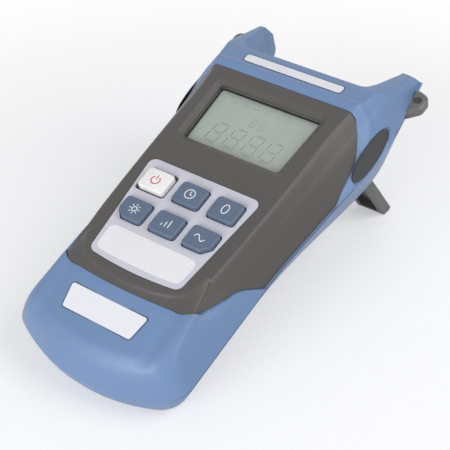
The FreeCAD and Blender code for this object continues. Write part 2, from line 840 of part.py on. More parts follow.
def standShape():
    """Stand in its own frame: Y from the hinge line to the foot, Z out of its outer skin."""
    reach = standEnd()
    side = profile([(-standRoot, standOuter, 2.0), (legLength + reach, standOuter, 0.8),
                    (legLength, -standInner, 0.8), (legLength * 0.5, -standInner + 0.3, 20.0),
                    (0, -standRoot, 0), (-standRoot, -standRoot, 2.1)], -standHalf, standHalf)
    shape = side.common(plate(standPlan(0), -10, 10))
    shape = shape.cut(plate(archOutline(0), -10, 10))
    inside = standHalf - standRim
    hollow = plate([(-inside, standRoot + 1.6, 1.5), (inside, standRoot + 1.6, 1.5),
                    (inside, legLength - 2.6, 1.5), (-inside, legLength - 2.6, 1.5)],
                   -10, standOuter - standSkin)
    hollow = hollow.cut(plate(archOutline(standRim), -20, 20))
    shape = shape.cut(hollow)
    for side in (-1, 1):
        shape = shape.cut(pinAt(side, pinRadius, standHalf - pinInStand, standHalf + 1))
    return shape


def pinAt(side, radius, near, far):
    """Length of round bar on the hinge line, on one side of the centre plane."""
    start = near if side > 0 else -far
    return Part.makeCylinder(radius, far - near, Vector(start, 0, 0), Vector(1, 0, 0))


def hingeFrame(shape, turn):
    """Carry a shape from the stand's frame to the body; turn 0 is folded."""
    moved = shape.copy()
    moved.rotate(Vector(0, 0, 0), Vector(1, 0, 0), 180 + turn)
    moved.translate(Vector(0, hingeV, hingeDepth))
    return fromBack(moved)


def makeStand():
    bodyShapes["stand"] = hingeFrame(standShape(), standOpen)
    ends = [pinAt(side, pinRadius, standHalf - pinInStand, standHalf + standSide + pinInWall - 0.1)
            for side in (-1, 1)]
    bodyShapes["stand_pins"] = hingeFrame(Part.makeCompound(ends), standOpen)


def standWell():
    """Recess for the folded stand; the ground inside the arch stays flush with the back."""
    room = plate(standPlan(standSide), -20, 20)
    room = room.cut(plate(archOutline(-standSide * 1.5), -30, 30))
    nail = [block(x - 5, x + 5, legLength, legLength + standEnd() + 3.4, -20, 20)
            for x in (-standHalf + footWide / 2, standHalf - footWide / 2)]
    swing = block(-standHalf - standSide, standHalf + standSide, -standRoot - 3.6, 2, -20, 20)
    room = room.multiFuse(nail + [swing])
    room = room.common(block(-50, 50, -20, 90, -standInner - 0.5, 20))
    return hingeFrame(room, 0)


def standHousing():
    """Inner walls round the stand's recess."""
    grow = standSide + 1.6
    plan = [(-standHalf - grow, -standRoot - 5.4, 1.5), (standHalf + grow, -standRoot - 5.4, 1.5),
            (standHalf + grow, legLength + standEnd() + 5.2, 1.5),
            (-standHalf - grow, legLength + standEnd() + 5.2, 1.5)]
    return hingeFrame(plate(plan, -standInner - 0.5 - 1.8, hingeDepth), 0)


# ---- port and lugs ----

def makePort():
    seat = portFloorY
    adapter = ring(flangeRadius, 0, seat, seat + flangeThick, portZ)
    adapter = adapter.fuse(ring(nippleRadius, 0, seat, seat + flangeThick + nippleLength, portZ))
    adapter = adapter.fuse(ring(nippleRadius + 0.9, 0, seat + flangeThick,
                                seat + flangeThick + 1.2, portZ))
    adapter = adapter.cut(ring(portBore, 0, seat - 1, seat + 30, portZ))
    for x in (-portScrewX, portScrewX):
        adapter = adapter.cut(Part.makeCylinder(portScrew, 10, Vector(x, seat - 1, portZ),
                                                Vector(0, 1, 0)))
    bodyShapes["optical_adapter"] = adapter
    screws = []
    for x in (-portScrewX, portScrewX):
        head = Part.makeCylinder(1.5, 0.9, Vector(x, seat + flangeThick, portZ), Vector(0, 1, 0))
        slot = block(x - 1.1, x + 1.1, seat + flangeThick + 0.45, seat + flangeThick + 2,
                     portZ - 0.25, portZ + 0.25)
        shank = Part.makeCylinder(portScrew, flangeThick + 1.6, Vector(x, seat - 1.6, portZ),
                                  Vector(0, 1, 0))
        screws.append(head.fuse(shank).cut(slot))
    bodyShapes["adapter_screws"] = Part.makeCompound(screws)
    can = ring(3.4, 0, seat - portBack - 3.4, seat - 0.4, portZ)
    rim = ring(4.4, 0, seat - portBack - 3.4, seat - portBack, portZ)
    legs = []
    start = seat - portBack - 5.6
    for x, z in ((-1.3, 1.3), (1.3, 1.3), (0, -1.6)):
        wire = block(x - 0.25, x + 0.25, start, start + 2.4, portZ + z - 0.25, portZ + z + 0.25)
        rise = block(x - 0.25, x + 0.25, start, start + 0.5, portZ + z, boardTopZ - boardThick)
        legs.append(wire.fuse(rise))
    bodyShapes["light_sensor"] = can.multiFuse([rim] + legs)
    tip = seat + flangeThick + dustGap
    cap = ring(dustRadius, 0, tip, tip + dustLength, portZ)
    cap = cap.makeChamfer(0.7, [edge for edge in cap.Edges if edge.BoundBox.YMin > tip + 1])
    room = ring(nippleRadius + 0.06, 0, tip - 1, tip + dustLength - 1.6, portZ)
    ribs = [ring(dustRadius + 1, dustRadius - 0.35, tip + 1.2 + 1.5 * index, tip + 1.9 + 1.5 * index,
                 portZ) for index in range(2)]
    bodyShapes["dust_cap"] = cap.cut(room.multiFuse(ribs))


def portWall():
    return ring(portWell + 1.8, 0, portFloorY - portBack, hornRootY - 1, portZ)


def portRoom():
    room = ring(portWell, 0, portFloorY, hornRootY + 3, portZ)
    room = room.fuse(ring(3.6, 0, portFloorY - portBack - 1, portFloorY + 1, portZ))
    for x in (-portScrewX, portScrewX):
        room = room.fuse(Part.makeCylinder(portScrew, 1.6, Vector(x, portFloorY - 1.6, portZ),
                                           Vector(0, 1, 0)))
    return room


def lugTongue(grow):
    return block(lugHoleX - 7.4, lugHoleX - 1.5, lugY - 3.0 - grow, lugY + 1.4 + grow,
                 lugZ - 1.1 - grow, lugZ + 1.1 + grow)


def makeLugs(housing):
    """Strap lugs: a round eye on a foot that follows the horn's flank."""
    foot = lugHoleX - 5.0
    points = [(foot, lugY - 7.4, 0.5), (lugHoleX - 1.0, lugY - 7.4, 2.0),
              (lugHoleX + 3.5, lugY - 3.0, 3.5), (lugHoleX + 3.8, lugY + 3.4, 3.4),
              (lugHoleX - 1.0, lugY + 5.2, 2.4), (foot, lugY + 5.2, 0.5)]
    eye = plate(points, lugZ - lugThick / 2, lugZ + lugThick / 2)
    rims = [edge for edge in eye.Edges
            if edge.BoundBox.ZLength < 1e-3 and edge.BoundBox.XMax > lugHoleX - 0.9]
    eye = eye.makeChamfer(0.7, rims)
    eye = eye.cut(housing)
    eye = eye.fuse(lugTongue(0).common(housing))
    eye = eye.cut(pin(lugHoleX, lugY, lugHoleRadius, lugZ - 10, lugZ + 10))
    bodyShapes["strap_lug_right"] = eye
    bodyShapes["strap_lug_left"] = mirrored(eye)


# ---- name plates and seals ----

def topPlate(grow, low, high):
    return plate(rectangle(0, plateTopY, 2 * (plateTopHalf + grow), plateTopTall + 2 * grow,
                           1.2 + grow), capRise + low, capRise + high)


def lowPlate(grow, low, high):
    points = trapezoid(-plateLowTall / 2 - grow, plateLowTall / 2 + grow, plateLowHalf - 0.9 + grow,
                       plateLowHalf + 0.9 + grow, 2.0 + grow)
    shape = plate(points, low, high)
    shape.rotate(Vector(0, 0, 0), Vector(1, 0, 0), plateLowSlope)
    shape.translate(Vector(0, plateLowY, plateLowZ))
    return shape


def makePlates():
    bodyShapes["top_plate"] = topPlate(0, plateProud - plateThick, plateProud)
    bodyShapes["bottom_plate"] = lowPlate(0, plateProud - plateThick, plateProud)
    seal = onFlank(Part.Face(ovalAt(-sealMargin, 0)).extrude(Vector(0, 0, sealThick)))
    bodyShapes["seal_right"] = seal
    bodyShapes["seal_left"] = mirrored(seal)


# ---- shells ----

def makeShells():
    under = -wall + capRise
    silhouette = sideForm(0, 0)
    low = frontForm(0, 0).common(silhouette)
    top = frontForm(0, capRise).common(silhouette).cut(portBay(0))
    rear = rearForm().common(silhouette).cut(portBay(0)).cut(backBevel())
    makeLugs(top.fuse(rear))
    inner = sideForm(wall, wall).cut(portBay(wall))
    backing = bothSides(fingerBacking())
    scoop = bothSides(fingerScoop())
    inside = backing.multiFuse([portWall(), pins(casePosts, casePostRadius, -60, 10)])
    room = frontRoom().common(inner).cut(inside)
    hollow = rearRoom().common(inner).cut(inside).cut(standHousing()).cut(fromBack(bayBox()))

    capHoles = pins(casePosts, screwThick, partingZ - 1, partingZ + 5.5)
    lowZone = bottomCapZone()
    topZone = topCapZone()
    lowCap = low.common(lowZone).cut(room).cut(capHoles)
    bodyShapes["bottom_cap"] = lowCap.cut(lowPlate(plateGap, plateProud - plateThick, 6))
    capCuts = scoop.multiFuse([portRoom(), capHoles, bothSides(lugTongue(0)),
                               topPlate(plateGap, plateProud - plateThick, 6)])
    bodyShapes["top_cap"] = top.common(topZone).cut(room).cut(capCuts)

    cover = frontForm(coverInset, capRise).common(sideForm(coverInset, 0)).cut(room)
    cover = cover.cut(lowZone.fuse(topZone)).cut(scoop)
    posts = pins(boardPosts, postRadius, boardTopZ, under + 0.4)
    cover = cover.multiFuse([posts, displayRim()])
    pocket = overlayOutline(plateGap, overlayProud - overlayThick, 3)
    pilots = pins(boardPosts, screwThin, boardTopZ - 1, boardTopZ - boardThick + 6.0)
    bodyShapes["front_cover"] = cover.cut(displayWell().multiFuse([pocket, pilots, keyHoles(-5, 2)]))

    clear = pins(casePosts, screwThick + screwClear, -60, partingZ + 1)
    sinks = [pin(x, y, screwHead + 2 * screwClear, -60, caseScrewFloor(y)) for x, y in casePosts]
    holes = [pinAt(side, pinRadius + runningFit, standHalf, standHalf + standSide + pinInWall)
             for side in (-1, 1)]
    eyes = hingeFrame(Part.makeCompound(holes), 0)
    case = rear.cut(hollow)
    case = case.cut(scoop.multiFuse([portRoom(), bothSides(lugTongue(0)), clear] + sinks))
    bodyShapes["rear_case"] = case.cut(standWell()).cut(fromBack(bayRoom())).cut(eyes)


def placeOnFloor():
    """Tilt everything on to rear edge and soles and centre it over the floor."""
    tilt = math.degrees(bodyTilt())
    placed = {}
    for name, shape in bodyShapes.items():
        copy = shape.copy()
        copy.rotate(Vector(0, 0, 0), Vector(1, 0, 0), tilt)
        placed[name] = copy
    box = Part.makeCompound(list(placed.values())).optimalBoundingBox(False, False)
    shift = Vector(-(box.XMin + box.XMax) / 2, -(box.YMin + box.YMax) / 2, -box.ZMin)
    for shape in placed.values():
        shape.translate(shift)
    return placed, tilt, shift


def main():
    makeShells()
    makeDisplay()
    makeKeys()
    makeBoard()
    makeCaseScrews()
    makeDoor()
    makeCells()
    makeStand()
    makePort()
    makePlates()
    placed, tilt, shift = placeOnFloor()
    os.makedirs("parts", exist_ok=True)
    for name, shape in placed.items():
        shape.exportStep("parts/" + name + ".step")


main()
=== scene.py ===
import json
import math
import bmesh
import bpy
from mathutils import Matrix, Vector


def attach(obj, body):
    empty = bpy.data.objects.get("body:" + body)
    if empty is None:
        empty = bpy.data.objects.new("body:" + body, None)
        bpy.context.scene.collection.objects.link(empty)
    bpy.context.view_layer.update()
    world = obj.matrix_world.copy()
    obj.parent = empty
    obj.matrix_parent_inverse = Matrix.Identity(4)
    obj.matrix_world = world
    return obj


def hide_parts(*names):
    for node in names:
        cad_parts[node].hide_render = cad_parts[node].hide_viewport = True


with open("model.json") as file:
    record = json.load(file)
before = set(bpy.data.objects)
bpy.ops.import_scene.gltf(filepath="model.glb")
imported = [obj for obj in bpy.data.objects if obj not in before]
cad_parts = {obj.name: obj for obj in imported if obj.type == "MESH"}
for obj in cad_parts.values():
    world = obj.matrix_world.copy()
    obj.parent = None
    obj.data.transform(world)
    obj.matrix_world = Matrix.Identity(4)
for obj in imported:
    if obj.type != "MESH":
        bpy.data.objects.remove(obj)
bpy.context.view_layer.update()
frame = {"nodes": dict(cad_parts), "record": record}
print("frame loaded")

placing = {
    "tilt": 17.845162,          # degrees the body leans back on its stand
    "shiftY": -0.089835,        # body origin in the row frame, metres
    "shiftZ": 0.026080,
}


def leaning(size):
    return Matrix.Rotation(math.radians(placing["tilt"]), size, "X")


def toRowMatrix():
    # millimetres in the body's own frame to metres in the row frame
    return (Matrix.Translation((0, placing["shiftY"], placing["shiftZ"]))
            @ leaning(4) @ Matrix.Scale(0.001, 4))


class Wire:
    # one output socket; plain arithmetic on it adds Math nodes
    def __init__(self, shader, socket):
        self.shader = shader
        self.socket = socket

    def math(self, operation, a, b):
        return self.shader.add("ShaderNodeMath", {"operation": operation}, {0: a, 1: b})

    def __add__(self, other):
        return self.math("ADD", self, other)

    def __radd__(self, other):
        return self.math("ADD", other, self)

    def __sub__(self, other):
        return self.math("SUBTRACT", self, other)

    def __rsub__(self, other):
        return self.math("SUBTRACT", other, self)

    def __mul__(self, other):
        return self.math("MULTIPLY", self, other)

    def __rmul__(self, other):
        return self.math("MULTIPLY", other, self)


class Shader:
    # a node tree of a new material, or of the world that is handed in
    def __init__(self, name, world=None):
        self.material = world or bpy.data.materials.new(name)
        self.material.use_nodes = True
        self.tree = self.material.node_tree
        self.tree.nodes.clear()
        kind = "World" if world else "Material"
        self.output = self.tree.nodes.new("ShaderNodeOutput" + kind)

    def add(self, kind, settings=None, inputs=None, out=0):
        # settings go in first, then values or links
        node = self.tree.nodes.new(kind)
        for key, value in (settings or {}).items():
            setattr(node, key, value)
        for key, value in (inputs or {}).items():
            if isinstance(value, Wire):
                self.tree.links.new(value.socket, node.inputs[key])
            else:
                node.inputs[key].default_value = value
        return Wire(self, node.outputs[out])

    def place(self):
        return self.add("ShaderNodeTexCoord", out="Object")

    def noise(self, scale, detail=2.0, rough=0.5, at=None):
        return self.add("ShaderNodeTexNoise", {},
                        {"Vector": at or self.place(), "Scale": scale, "Detail": detail,
                         "Roughness": rough})

    def mixColour(self, factor, a, b):
        # sockets 6 and 7 and output 2 are the ones for colours
        return self.add("ShaderNodeMix", {"data_type": "RGBA"}, {0: factor, 6: a, 7: b}, out=2)

    def mixShader(self, factor, a, b):
        return self.add("ShaderNodeMixShader", {}, {0: factor, 1: a, 2: b})

    def bump(self, height, strength, distance):
        return self.add("ShaderNodeBump", {}, {"Height": height, "Strength": strength,
                                               "Distance": distance})

    def seenRays(self):
        # 1 for rays from the lens, off glossy surfaces and through glass
        seen = self.add("ShaderNodeLightPath", out="Is Camera Ray")
        for ray in ("Is Glossy Ray", "Is Transmission Ray"):
            seen = seen.math("MAXIMUM", seen, self.add("ShaderNodeLightPath", out=ray))
        return seen

    def surface(self, inputs):
        self.finish(self.add("ShaderNodeBsdfPrincipled", {}, inputs))

    def finish(self, shader):
        self.tree.links.new(shader.socket, self.output.inputs["Surface"])


def tint(colour, share):
    return tuple(min(1.0, c * share) for c in colour[:3]) + (1,)


def mouldedPlastic(name, colour, rough=0.42, specular=0.5):
    # satin moulded skin: fine spark-eroded grain, faint cloudiness, rubbed patches
    s = Shader(name)
    at = s.place()
    cloud = s.noise(38.0, 3.0, 0.55, at)
    speck = s.noise(1500.0, 2.0, 0.6, at)
    body = s.mixColour(cloud, tint(colour, 0.92), tint(colour, 1.08))
    body = s.mixColour((speck - 0.5) * 0.25 + 0.12, body, tint(colour, 1.25))
    rubbed = s.noise(90.0, 4.0, 0.65, at)
    s.surface({"Base Color": body, "Roughness": (rubbed - 0.5) * 0.16 + rough,
               "Normal": s.bump(speck, 0.22, 0.00006), "Specular IOR Level": specular})
    return s.material


def softRubber(name, colour, rough=0.55):
    # matt rubber with a little dust on it
    s = Shader(name)
    at = s.place()
    cloud = s.noise(160.0, 3.0, 0.6, at)
    dust = s.noise(900.0, 3.0, 0.7, at)
    body = s.mixColour(cloud, tint(colour, 0.88), tint(colour, 1.12))
    body = s.mixColour((dust - 0.52) * 0.5, body, tint(colour, 1.6))
    s.surface({"Base Color": body, "Roughness": (dust - 0.5) * 0.2 + rough,
               "Normal": s.bump(dust, 0.15, 0.00005)})
    return s.material


def printedFilm(name, colour, rough=0.4, grain=700.0):
    # printed polyester film, nearly even
    s = Shader(name)
    at = s.place()
    fine = s.noise(grain, 2.0, 0.5, at)
    cloud = s.noise(60.0, 2.0, 0.5, at)
    body = s.mixColour(cloud, tint(colour, 0.965), tint(colour, 1.03))
    s.surface({"Base Color": body, "Roughness": (fine - 0.5) * 0.12 + rough,
               "Normal": s.bump(fine, 0.12, 0.00004)})
    return s.material


def metalSkin(name, colour, rough=0.28):
    # plated or rolled metal with faint stains
    s = Shader(name)
    at = s.place()
    turned = s.noise(1800.0, 3.0, 0.6, at)
    stain = s.noise(240.0, 3.0, 0.6, at)
    body = s.mixColour(stain, tint(colour, 0.86), tint(colour, 1.08))
    s.surface({"Base Color": body, "Metallic": 1.0, "Roughness": (turned - 0.5) * 0.18 + rough,
               "Normal": s.bump(turned, 0.1, 0.00003)})
    return s.material


def clearWindow():
    # hard-coated clear plate: mostly see-through, thin reflections
    s = Shader("clearWindow")
    at = s.place()
    smear = s.noise(120.0, 3.0, 0.6, at)
    see = s.add("ShaderNodeBsdfTransparent", {}, {"Color": (0.93, 0.95, 0.94, 1)})
    shine = s.add("ShaderNodeBsdfGlossy", {}, {"Color": (1, 1, 1, 1),
                                              "Roughness": (smear - 0.5) * 0.1 + 0.09})
    inside = s.add("ShaderNodeNewGeometry", out="Backfacing")
    fresnel = s.add("ShaderNodeFresnel", {}, {"IOR": 1.4}) * (1 - inside)
    s.finish(s.mixShader(fresnel, see, shine))
    return s.material


palette = {
    "cap": (0.134, 0.216, 0.378),
    "cover": (0.074, 0.069, 0.066),
    "stand": (0.074, 0.074, 0.073),
    "lug": (0.110, 0.107, 0.100),
    "key": (0.088, 0.125, 0.195),
    "power": (0.78, 0.77, 0.76),
    "overlay": (0.540, 0.545, 0.610),
    "panel": (0.740, 0.735, 0.765),
    "plate": (0.72, 0.73, 0.77),
    "seal": (0.018, 0.019, 0.022),
    "lcd": (0.420, 0.450, 0.420),
    "mat": (0.45, 0.45, 0.43),
    "dustCap": (0.02, 0.02, 0.02),
    # black of the window's gasket, which also serves as painted shadow round the window
    "gasketAndShade": (0.014, 0.014, 0.014),
    "joint": (0.05, 0.075, 0.135),
    "markWhite": (0.72, 0.74, 0.76),
    "markRed": (0.55, 0.045, 0.04),
    "frame": (0.75, 0.75, 0.73),
    "connector": (0.03, 0.03, 0.03),
    "board": (0.02, 0.16, 0.06),
    "chip": (0.02, 0.02, 0.02),
    "steel": (0.60, 0.60, 0.60),
    "nickel": (0.74, 0.72, 0.66),
    "cell": (0.42, 0.44, 0.47),
}

looks = {
    "cap_plastic": mouldedPlastic("blueShell", palette["cap"], 0.42, 0.42),
    "cover_plastic": mouldedPlastic("darkCover", palette["cover"], 0.42, 0.36),
    "stand_plastic": mouldedPlastic("standPlastic", palette["stand"]),
    "key_rubber": softRubber("keyRubber", palette["key"], 0.5),
    "power_rubber": softRubber("powerRubber", palette["power"], 0.5),
    "mat_rubber": softRubber("matRubber", palette["mat"]),
    "cap_rubber": softRubber("dustRubber", palette["dustCap"]),
    "overlay_film": printedFilm("overlayFilm", palette["overlay"], 0.42),
    "plate_film": printedFilm("plateFilm", palette["plate"], 0.35),
    "seal_film": printedFilm("sealFilm", palette["seal"], 0.3),
    "window_clear": clearWindow(),
    "lcd": printedFilm("lcdGlass", palette["lcd"], 0.3, 300.0),
    "frame_white": mouldedPlastic("frameWhite", palette["frame"], 0.4),
    "connector_black": mouldedPlastic("connectorBlack", palette["connector"], 0.4),
    "board_green": printedFilm("boardGreen", palette["board"], 0.3, 400.0),
    "chip_black": mouldedPlastic("chipBlack", palette["chip"], 0.5),
    "steel": metalSkin("zincSteel", palette["steel"]),
    "nickel": metalSkin("nickel", palette["nickel"], 0.22),
    "cell_jacket": metalSkin("cellJacket", palette["cell"], 0.35),
}
print("materials made")

slots = {part["node"]: part["material_slot"] for part in frame["record"]["subparts"]}


def dress(thing, material):
    thing.data.materials.clear()
    thing.data.materials.append(material)


for node, thing in frame["nodes"].items():
    dress(thing, looks[slots[node]])


def bodyOf(node):
    for body, members in frame["record"]["behaviour"]["bodies"].items():
        if node in members:
            return body
    return "case"


def held(mesh):
    # a plain object that carries a mesh through its modifiers
    thing = bpy.data.objects.new(mesh.name, mesh)
    bpy.context.scene.collection.objects.link(thing)
    return thing


def newPiece(name, mesh, body, slot):
    piece = bpy.data.objects.new(name, mesh)
    bpy.context.scene.collection.objects.link(piece)
    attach(piece, body)
    return piece


def baked(thing):
    # the evaluated result as a plain mesh
    graph = bpy.context.evaluated_depsgraph_get()
    graph.update()
    return bpy.data.meshes.new_from_object(thing.evaluated_get(graph), depsgraph=graph)


def addBevel(thing, width, segments, limit):
    soften = thing.modifiers.new("soften", "BEVEL")
    soften.width = width
    soften.segments = segments
    soften.limit_method = "ANGLE"
    soften.angle_limit = math.radians(limit)
    soften.use_clamp_overlap = True
    return soften


def shadeByAngle(mesh, degrees):
    mesh.shade_smooth()
    work = bmesh.new()
    work.from_mesh(mesh)
    limit = math.radians(degrees)
    for edge in work.edges:
        edge.smooth = len(edge.link_faces) == 2 and edge.calc_face_angle(0.0) < limit
    work.to_mesh(mesh)
    work.free()


softening = {
    "merge": 1e-6, "flat": 0.6,              # metres and degrees, to clean a CAD mesh
    "segments": 3, "limit": 32, "sharp": 30,
    # width of the softened edges in metres
    "widths": {
        "stand": 0.0005, "strap_lug_left": 0.0006, "strap_lug_right": 0.0006,
        "power_key": 0.0006, "key_timer": 0.0006, "key_zero": 0.0006, "key_light": 0.0006,
        "key_level": 0.0006, "key_wave": 0.0006, "battery_door": 0.0003, "rear_case": 0.0004,
        "dust_cap": 0.0, "optical_adapter": 0.0,
    },
}


def finishedCopy(node, width):
    # merged copy of a CAD node with softened edges
    mesh = frame["nodes"][node].data.copy()
    mesh.name = node + "Soft"
    work = bmesh.new()
    work.from_mesh(mesh)
    bmesh.ops.remove_doubles(work, verts=work.verts, dist=softening["merge"])
    bmesh.ops.dissolve_limit(work, angle_limit=math.radians(softening["flat"]),
                             verts=work.verts, edges=work.edges)
    work.to_mesh(mesh)
    work.free()
    holder = held(mesh)
    if width > 0:
        soften = addBevel(holder, width, softening["segments"], softening["limit"])
        soften.miter_outer = "MITER_ARC"
    result = baked(holder)
    bpy.data.objects.remove(holder)
    shadeByAngle(result, softening["sharp"])
    piece = newPiece(node + "Soft", result, bodyOf(node), slots[node])
    dress(piece, looks[slots[node]])
    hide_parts(node)
    return piece


lugLook = mouldedPlastic("lugPlastic", palette["lug"], 0.40)
for node, width in softening["widths"].items():
    copy = finishedCopy(node, width)
    if node.startswith("strap"):
        dress(copy, lugLook)
    print("softened", node)

# the body's own frame from here on: millimetres, y towards the head, z out of the face
shellForm = {
    "parting": -17.2, "wall": 2.2, "coverInset": 0.8, "capRise": 0.8, "endRadius": 68.6,
    "hornTip": 174.5, "hornRoot": 149.3, "hornGap": 33.0, "backAtEnd": 28.3, "backSlope": 4.0,
    # y, half width at the parting plane
    "flank": [(60, 38.0), (97, 40.6), (122, 43.3), (140, 43.9), (158, 41.2), (182, 38.2)],
    # y, half width at the face
    "face": [(30, 27.9), (44, 28.9), (60, 30.2), (97, 31.6), (122, 31.8), (140, 33.4),
             (158, 34.4), (182, 34.0)],
    # height, share of the flank's lean, y of the bowed end, corner radius
    "front": [(-17.2, 0.0, 0.0, 9.0), (-13.0, 0.20, 1.7, 8.8), (-9.0, 0.42, 3.9, 8.6),
              (-6.2, 0.60, 6.6, 9.0), (-4.6, 0.73, 11.0, 10.2), (-2.8, 0.87, 22.0, 12.5),
              (-1.2, 1.01, 30.5, 13.5), (-0.25, 1.14, 32.8, 13.0), (0.0, 1.34, 34.6, 12.0)],
}
outline = {
    "cornerWidthAt": 25.0,                       # y where the half width of the end is read
    "endSteps": 24, "cornerSteps": 16, "sideSteps": 60, "faceColumns": 16,
    # up to this y, this far apart
    "rows": [(100, 2.0), (138, 1.0), (146.5, 0.5), (182, 1.0)],
    "merge": 1e-4,
}


def flow(rows, steps):
    # Catmull-Rom through rows of numbers
    result = []
    last = len(rows) - 1
    for index in range(last):
        a = rows[max(index - 1, 0)]
        b, c = rows[index], rows[index + 1]
        d = rows[min(index + 2, last)]
        for step in range(steps):
            t = step / steps
            result.append(tuple(
                0.5 * (2 * q + (r - p) * t + (2 * p - 5 * q + 4 * r - s) * t * t
                       + (3 * q - p - 3 * r + s) * t ** 3)
                for p, q, r, s in zip(a, b, c, d)))
    result.append(tuple(rows[last]))
    return result


def flankRows():
    # y values along the flank, closer together under the head
    y, end = shellForm["flank"][0][0], shellForm["flank"][-1][0]
    ys = []
    while y < end:
        ys.append(y)
        y += next(step for limit, step in outline["rows"] if y < limit)
    return ys + [end]


def stationAt(y, name):
    # smooth half width at y, read from the flank or the face
    table = shellForm[name]
    if y <= table[0][0]:
        return table[0][1]
    slopes = []
    for index in range(len(table)):
        before = table[max(index - 1, 0)]
        after = table[min(index + 1, len(table) - 1)]
        slopes.append((after[1] - before[1]) / (after[0] - before[0]))
    slopes[0] = 0.0
    for index in range(len(table) - 1):
        a, b = table[index], table[index + 1]
        if y <= b[0]:
            h = b[0] - a[0]
            t = (y - a[0]) / h
            return ((2 * t ** 3 - 3 * t * t + 1) * a[1]
                    + (t ** 3 - 2 * t * t + t) * h * slopes[index]
                    + (3 * t * t - 2 * t ** 3) * b[1]
                    + (t ** 3 - t * t) * h * slopes[index + 1])
    return table[-1][1]


def halfOutline(halfAt, endY, radius):
    # right half of a plan outline, from the middle of the end to the head
    start = halfAt(outline["cornerWidthAt"])
    big = shellForm["endRadius"]
    centre = endY + big
    cornerY = centre - math.sqrt((big - radius) ** 2 - (start - radius) ** 2)
    cornerX = start - radius
    angle = math.atan2(cornerY - centre, cornerX)
    points = []
    for step in range(outline["endSteps"]):
        a = -math.pi / 2 + (angle + math.pi / 2) * step / outline["endSteps"]
        points.append((big * math.cos(a), centre + big * math.sin(a)))
    for step in range(outline["cornerSteps"] + 1):
        a = angle * (1 - step / outline["cornerSteps"])
        points.append((cornerX + radius * math.cos(a), cornerY + radius * math.sin(a)))
    first = points[-1][1]
    rows = flankRows()
    for step in range(1, outline["sideSteps"]):
        y = first + (rows[0] - first) * step / outline["sideSteps"]
        points.append((halfAt(y), y))
    return points + [(halfAt(y), y) for y in rows]


def solidMesh(name, work):
    # the finished work as a mesh whose faces point outwards
    mesh = bpy.data.meshes.new(name)
    bmesh.ops.recalc_face_normals(work, faces=work.faces)
    work.to_mesh(mesh)
    work.free()
    return mesh


def gridMesh(name, rings, columns):
    # rings of right-half points, mirrored and laddered across the last ring
    work = bmesh.new()
    grid = []
    for right in zip(*rings):
        x, y, z = right[-1]
        across = [(x * (1 - 2 * k / columns), y, z) for k in range(1, columns)]
        left = [(-p[0], p[1], p[2]) for p in reversed(right)]
        grid.append([work.verts.new(p) for p in [*right, *across, *left]])
    for low, high in zip(grid, grid[1:]):
        for k in range(len(low) - 1):
            work.faces.new((low[k], low[k + 1], high[k + 1], high[k]))
    work.faces.new(grid[-1])
    bmesh.ops.remove_doubles(work, verts=work.verts, dist=outline["merge"])
    rim = [edge for edge in work.edges if len(edge.link_faces) == 1]
    bmesh.ops.edgeloop_fill(work, edges=rim)
    return solidMesh(name, work)


def frontSkin(name, inset, lift, steps=6):
    # closed form of the whole front, from the parting plane up
    rings = []
    for z, share, endY, radius in flow(shellForm["front"], steps):
        rise = 1 - z / shellForm["parting"]
        level = z - inset * rise + lift * rise ** 4

        def halfAt(y):
            w, f = stationAt(y, "flank"), stationAt(y, "face")
            return w - (w - f) * share - inset
        ring = halfOutline(halfAt, endY + inset, radius - inset / 2)
        rings.append([(x, y, level) for x, y in ring])
    return gridMesh(name, rings, outline["faceColumns"])


def arcCorners(points, segments=8):
    # polygon with rounded corners: each point is u, v, radius
    result = []
    count = len(points)
    for index, (u, v, radius) in enumerate(points):
        here = Vector((u, v))
        if radius <= 0:
            result.append((u, v))
            continue
        back = (Vector(points[index - 1][:2]) - here).normalized()
        ahead = (Vector(points[(index + 1) % count][:2]) - here).normalized()
        half = back.angle(ahead) / 2
        reach = radius / math.tan(half)
        centre = here + (back + ahead).normalized() * (radius / math.sin(half))
        start = here + back * reach - centre
        end = here + ahead * reach - centre
        sweep = start.angle_signed(end)
        for step in range(segments + 1):
            turned = start.copy()
            turned.rotate(Matrix.Rotation(-sweep * step / segments, 2))
            result.append(tuple(centre + turned))
    return result


def prism(name, points, low, high, across=False):
    # plan outline raised in z, or a side outline (y, z) drawn across x
    work = bmesh.new()

    def corner(u, v, w):
        return work.verts.new((w, u, v) if across else (u, v, w))
    lower = [corner(u, v, low) for u, v in points]
    upper = [corner(u, v, high) for u, v in points]
    work.faces.new(lower)
    work.faces.new(upper)
    for k in range(len(points)):
        n = (k + 1) % len(points)
        work.faces.new((lower[k], lower[n], upper[n], upper[k]))
    return solidMesh(name, work)


cutting = {"side": 60, "below": -60, "bayTop": 10, "seamTop": 20, "plateTop": 6}


def acrossBlock(points):
    # a side outline drawn through the whole width
    return prism("across", points, -cutting["side"], cutting["side"], True)


def planBlock(points, top):
    # a plan outline raised from below the body to a named height
    return prism("plan", points, cutting["below"], cutting[top])


def loft(name, loops):
    # closed solid through loops of equal count
    work = bmesh.new()
    rows = [[work.verts.new(point) for point in loop] for loop in loops]
    for low, high in zip(rows, rows[1:]):
        for k in range(len(low)):
            work.faces.new((low[k - 1], low[k], high[k], high[k - 1]))
    work.faces.new(rows[0])
    work.faces.new(rows[-1])
    return solidMesh(name, work)


def rod(a, b, radius, sides=40):
    # closed cylinder between two points
    mesh = bpy.data.meshes.new("rod")
    work = bmesh.new()
    axis = Vector(b) - Vector(a)
    bmesh.ops.create_cone(work, cap_ends=True, segments=sides, radius1=radius, radius2=radius,
                          depth=axis.length)
    turn = axis.to_track_quat("Z", "Y").to_matrix().to_4x4()
    bmesh.ops.transform(work, matrix=Matrix.Translation((Vector(a) + Vector(b)) / 2) @ turn,
                        verts=work.verts)
    work.to_mesh(mesh)
    work.free()
    return mesh


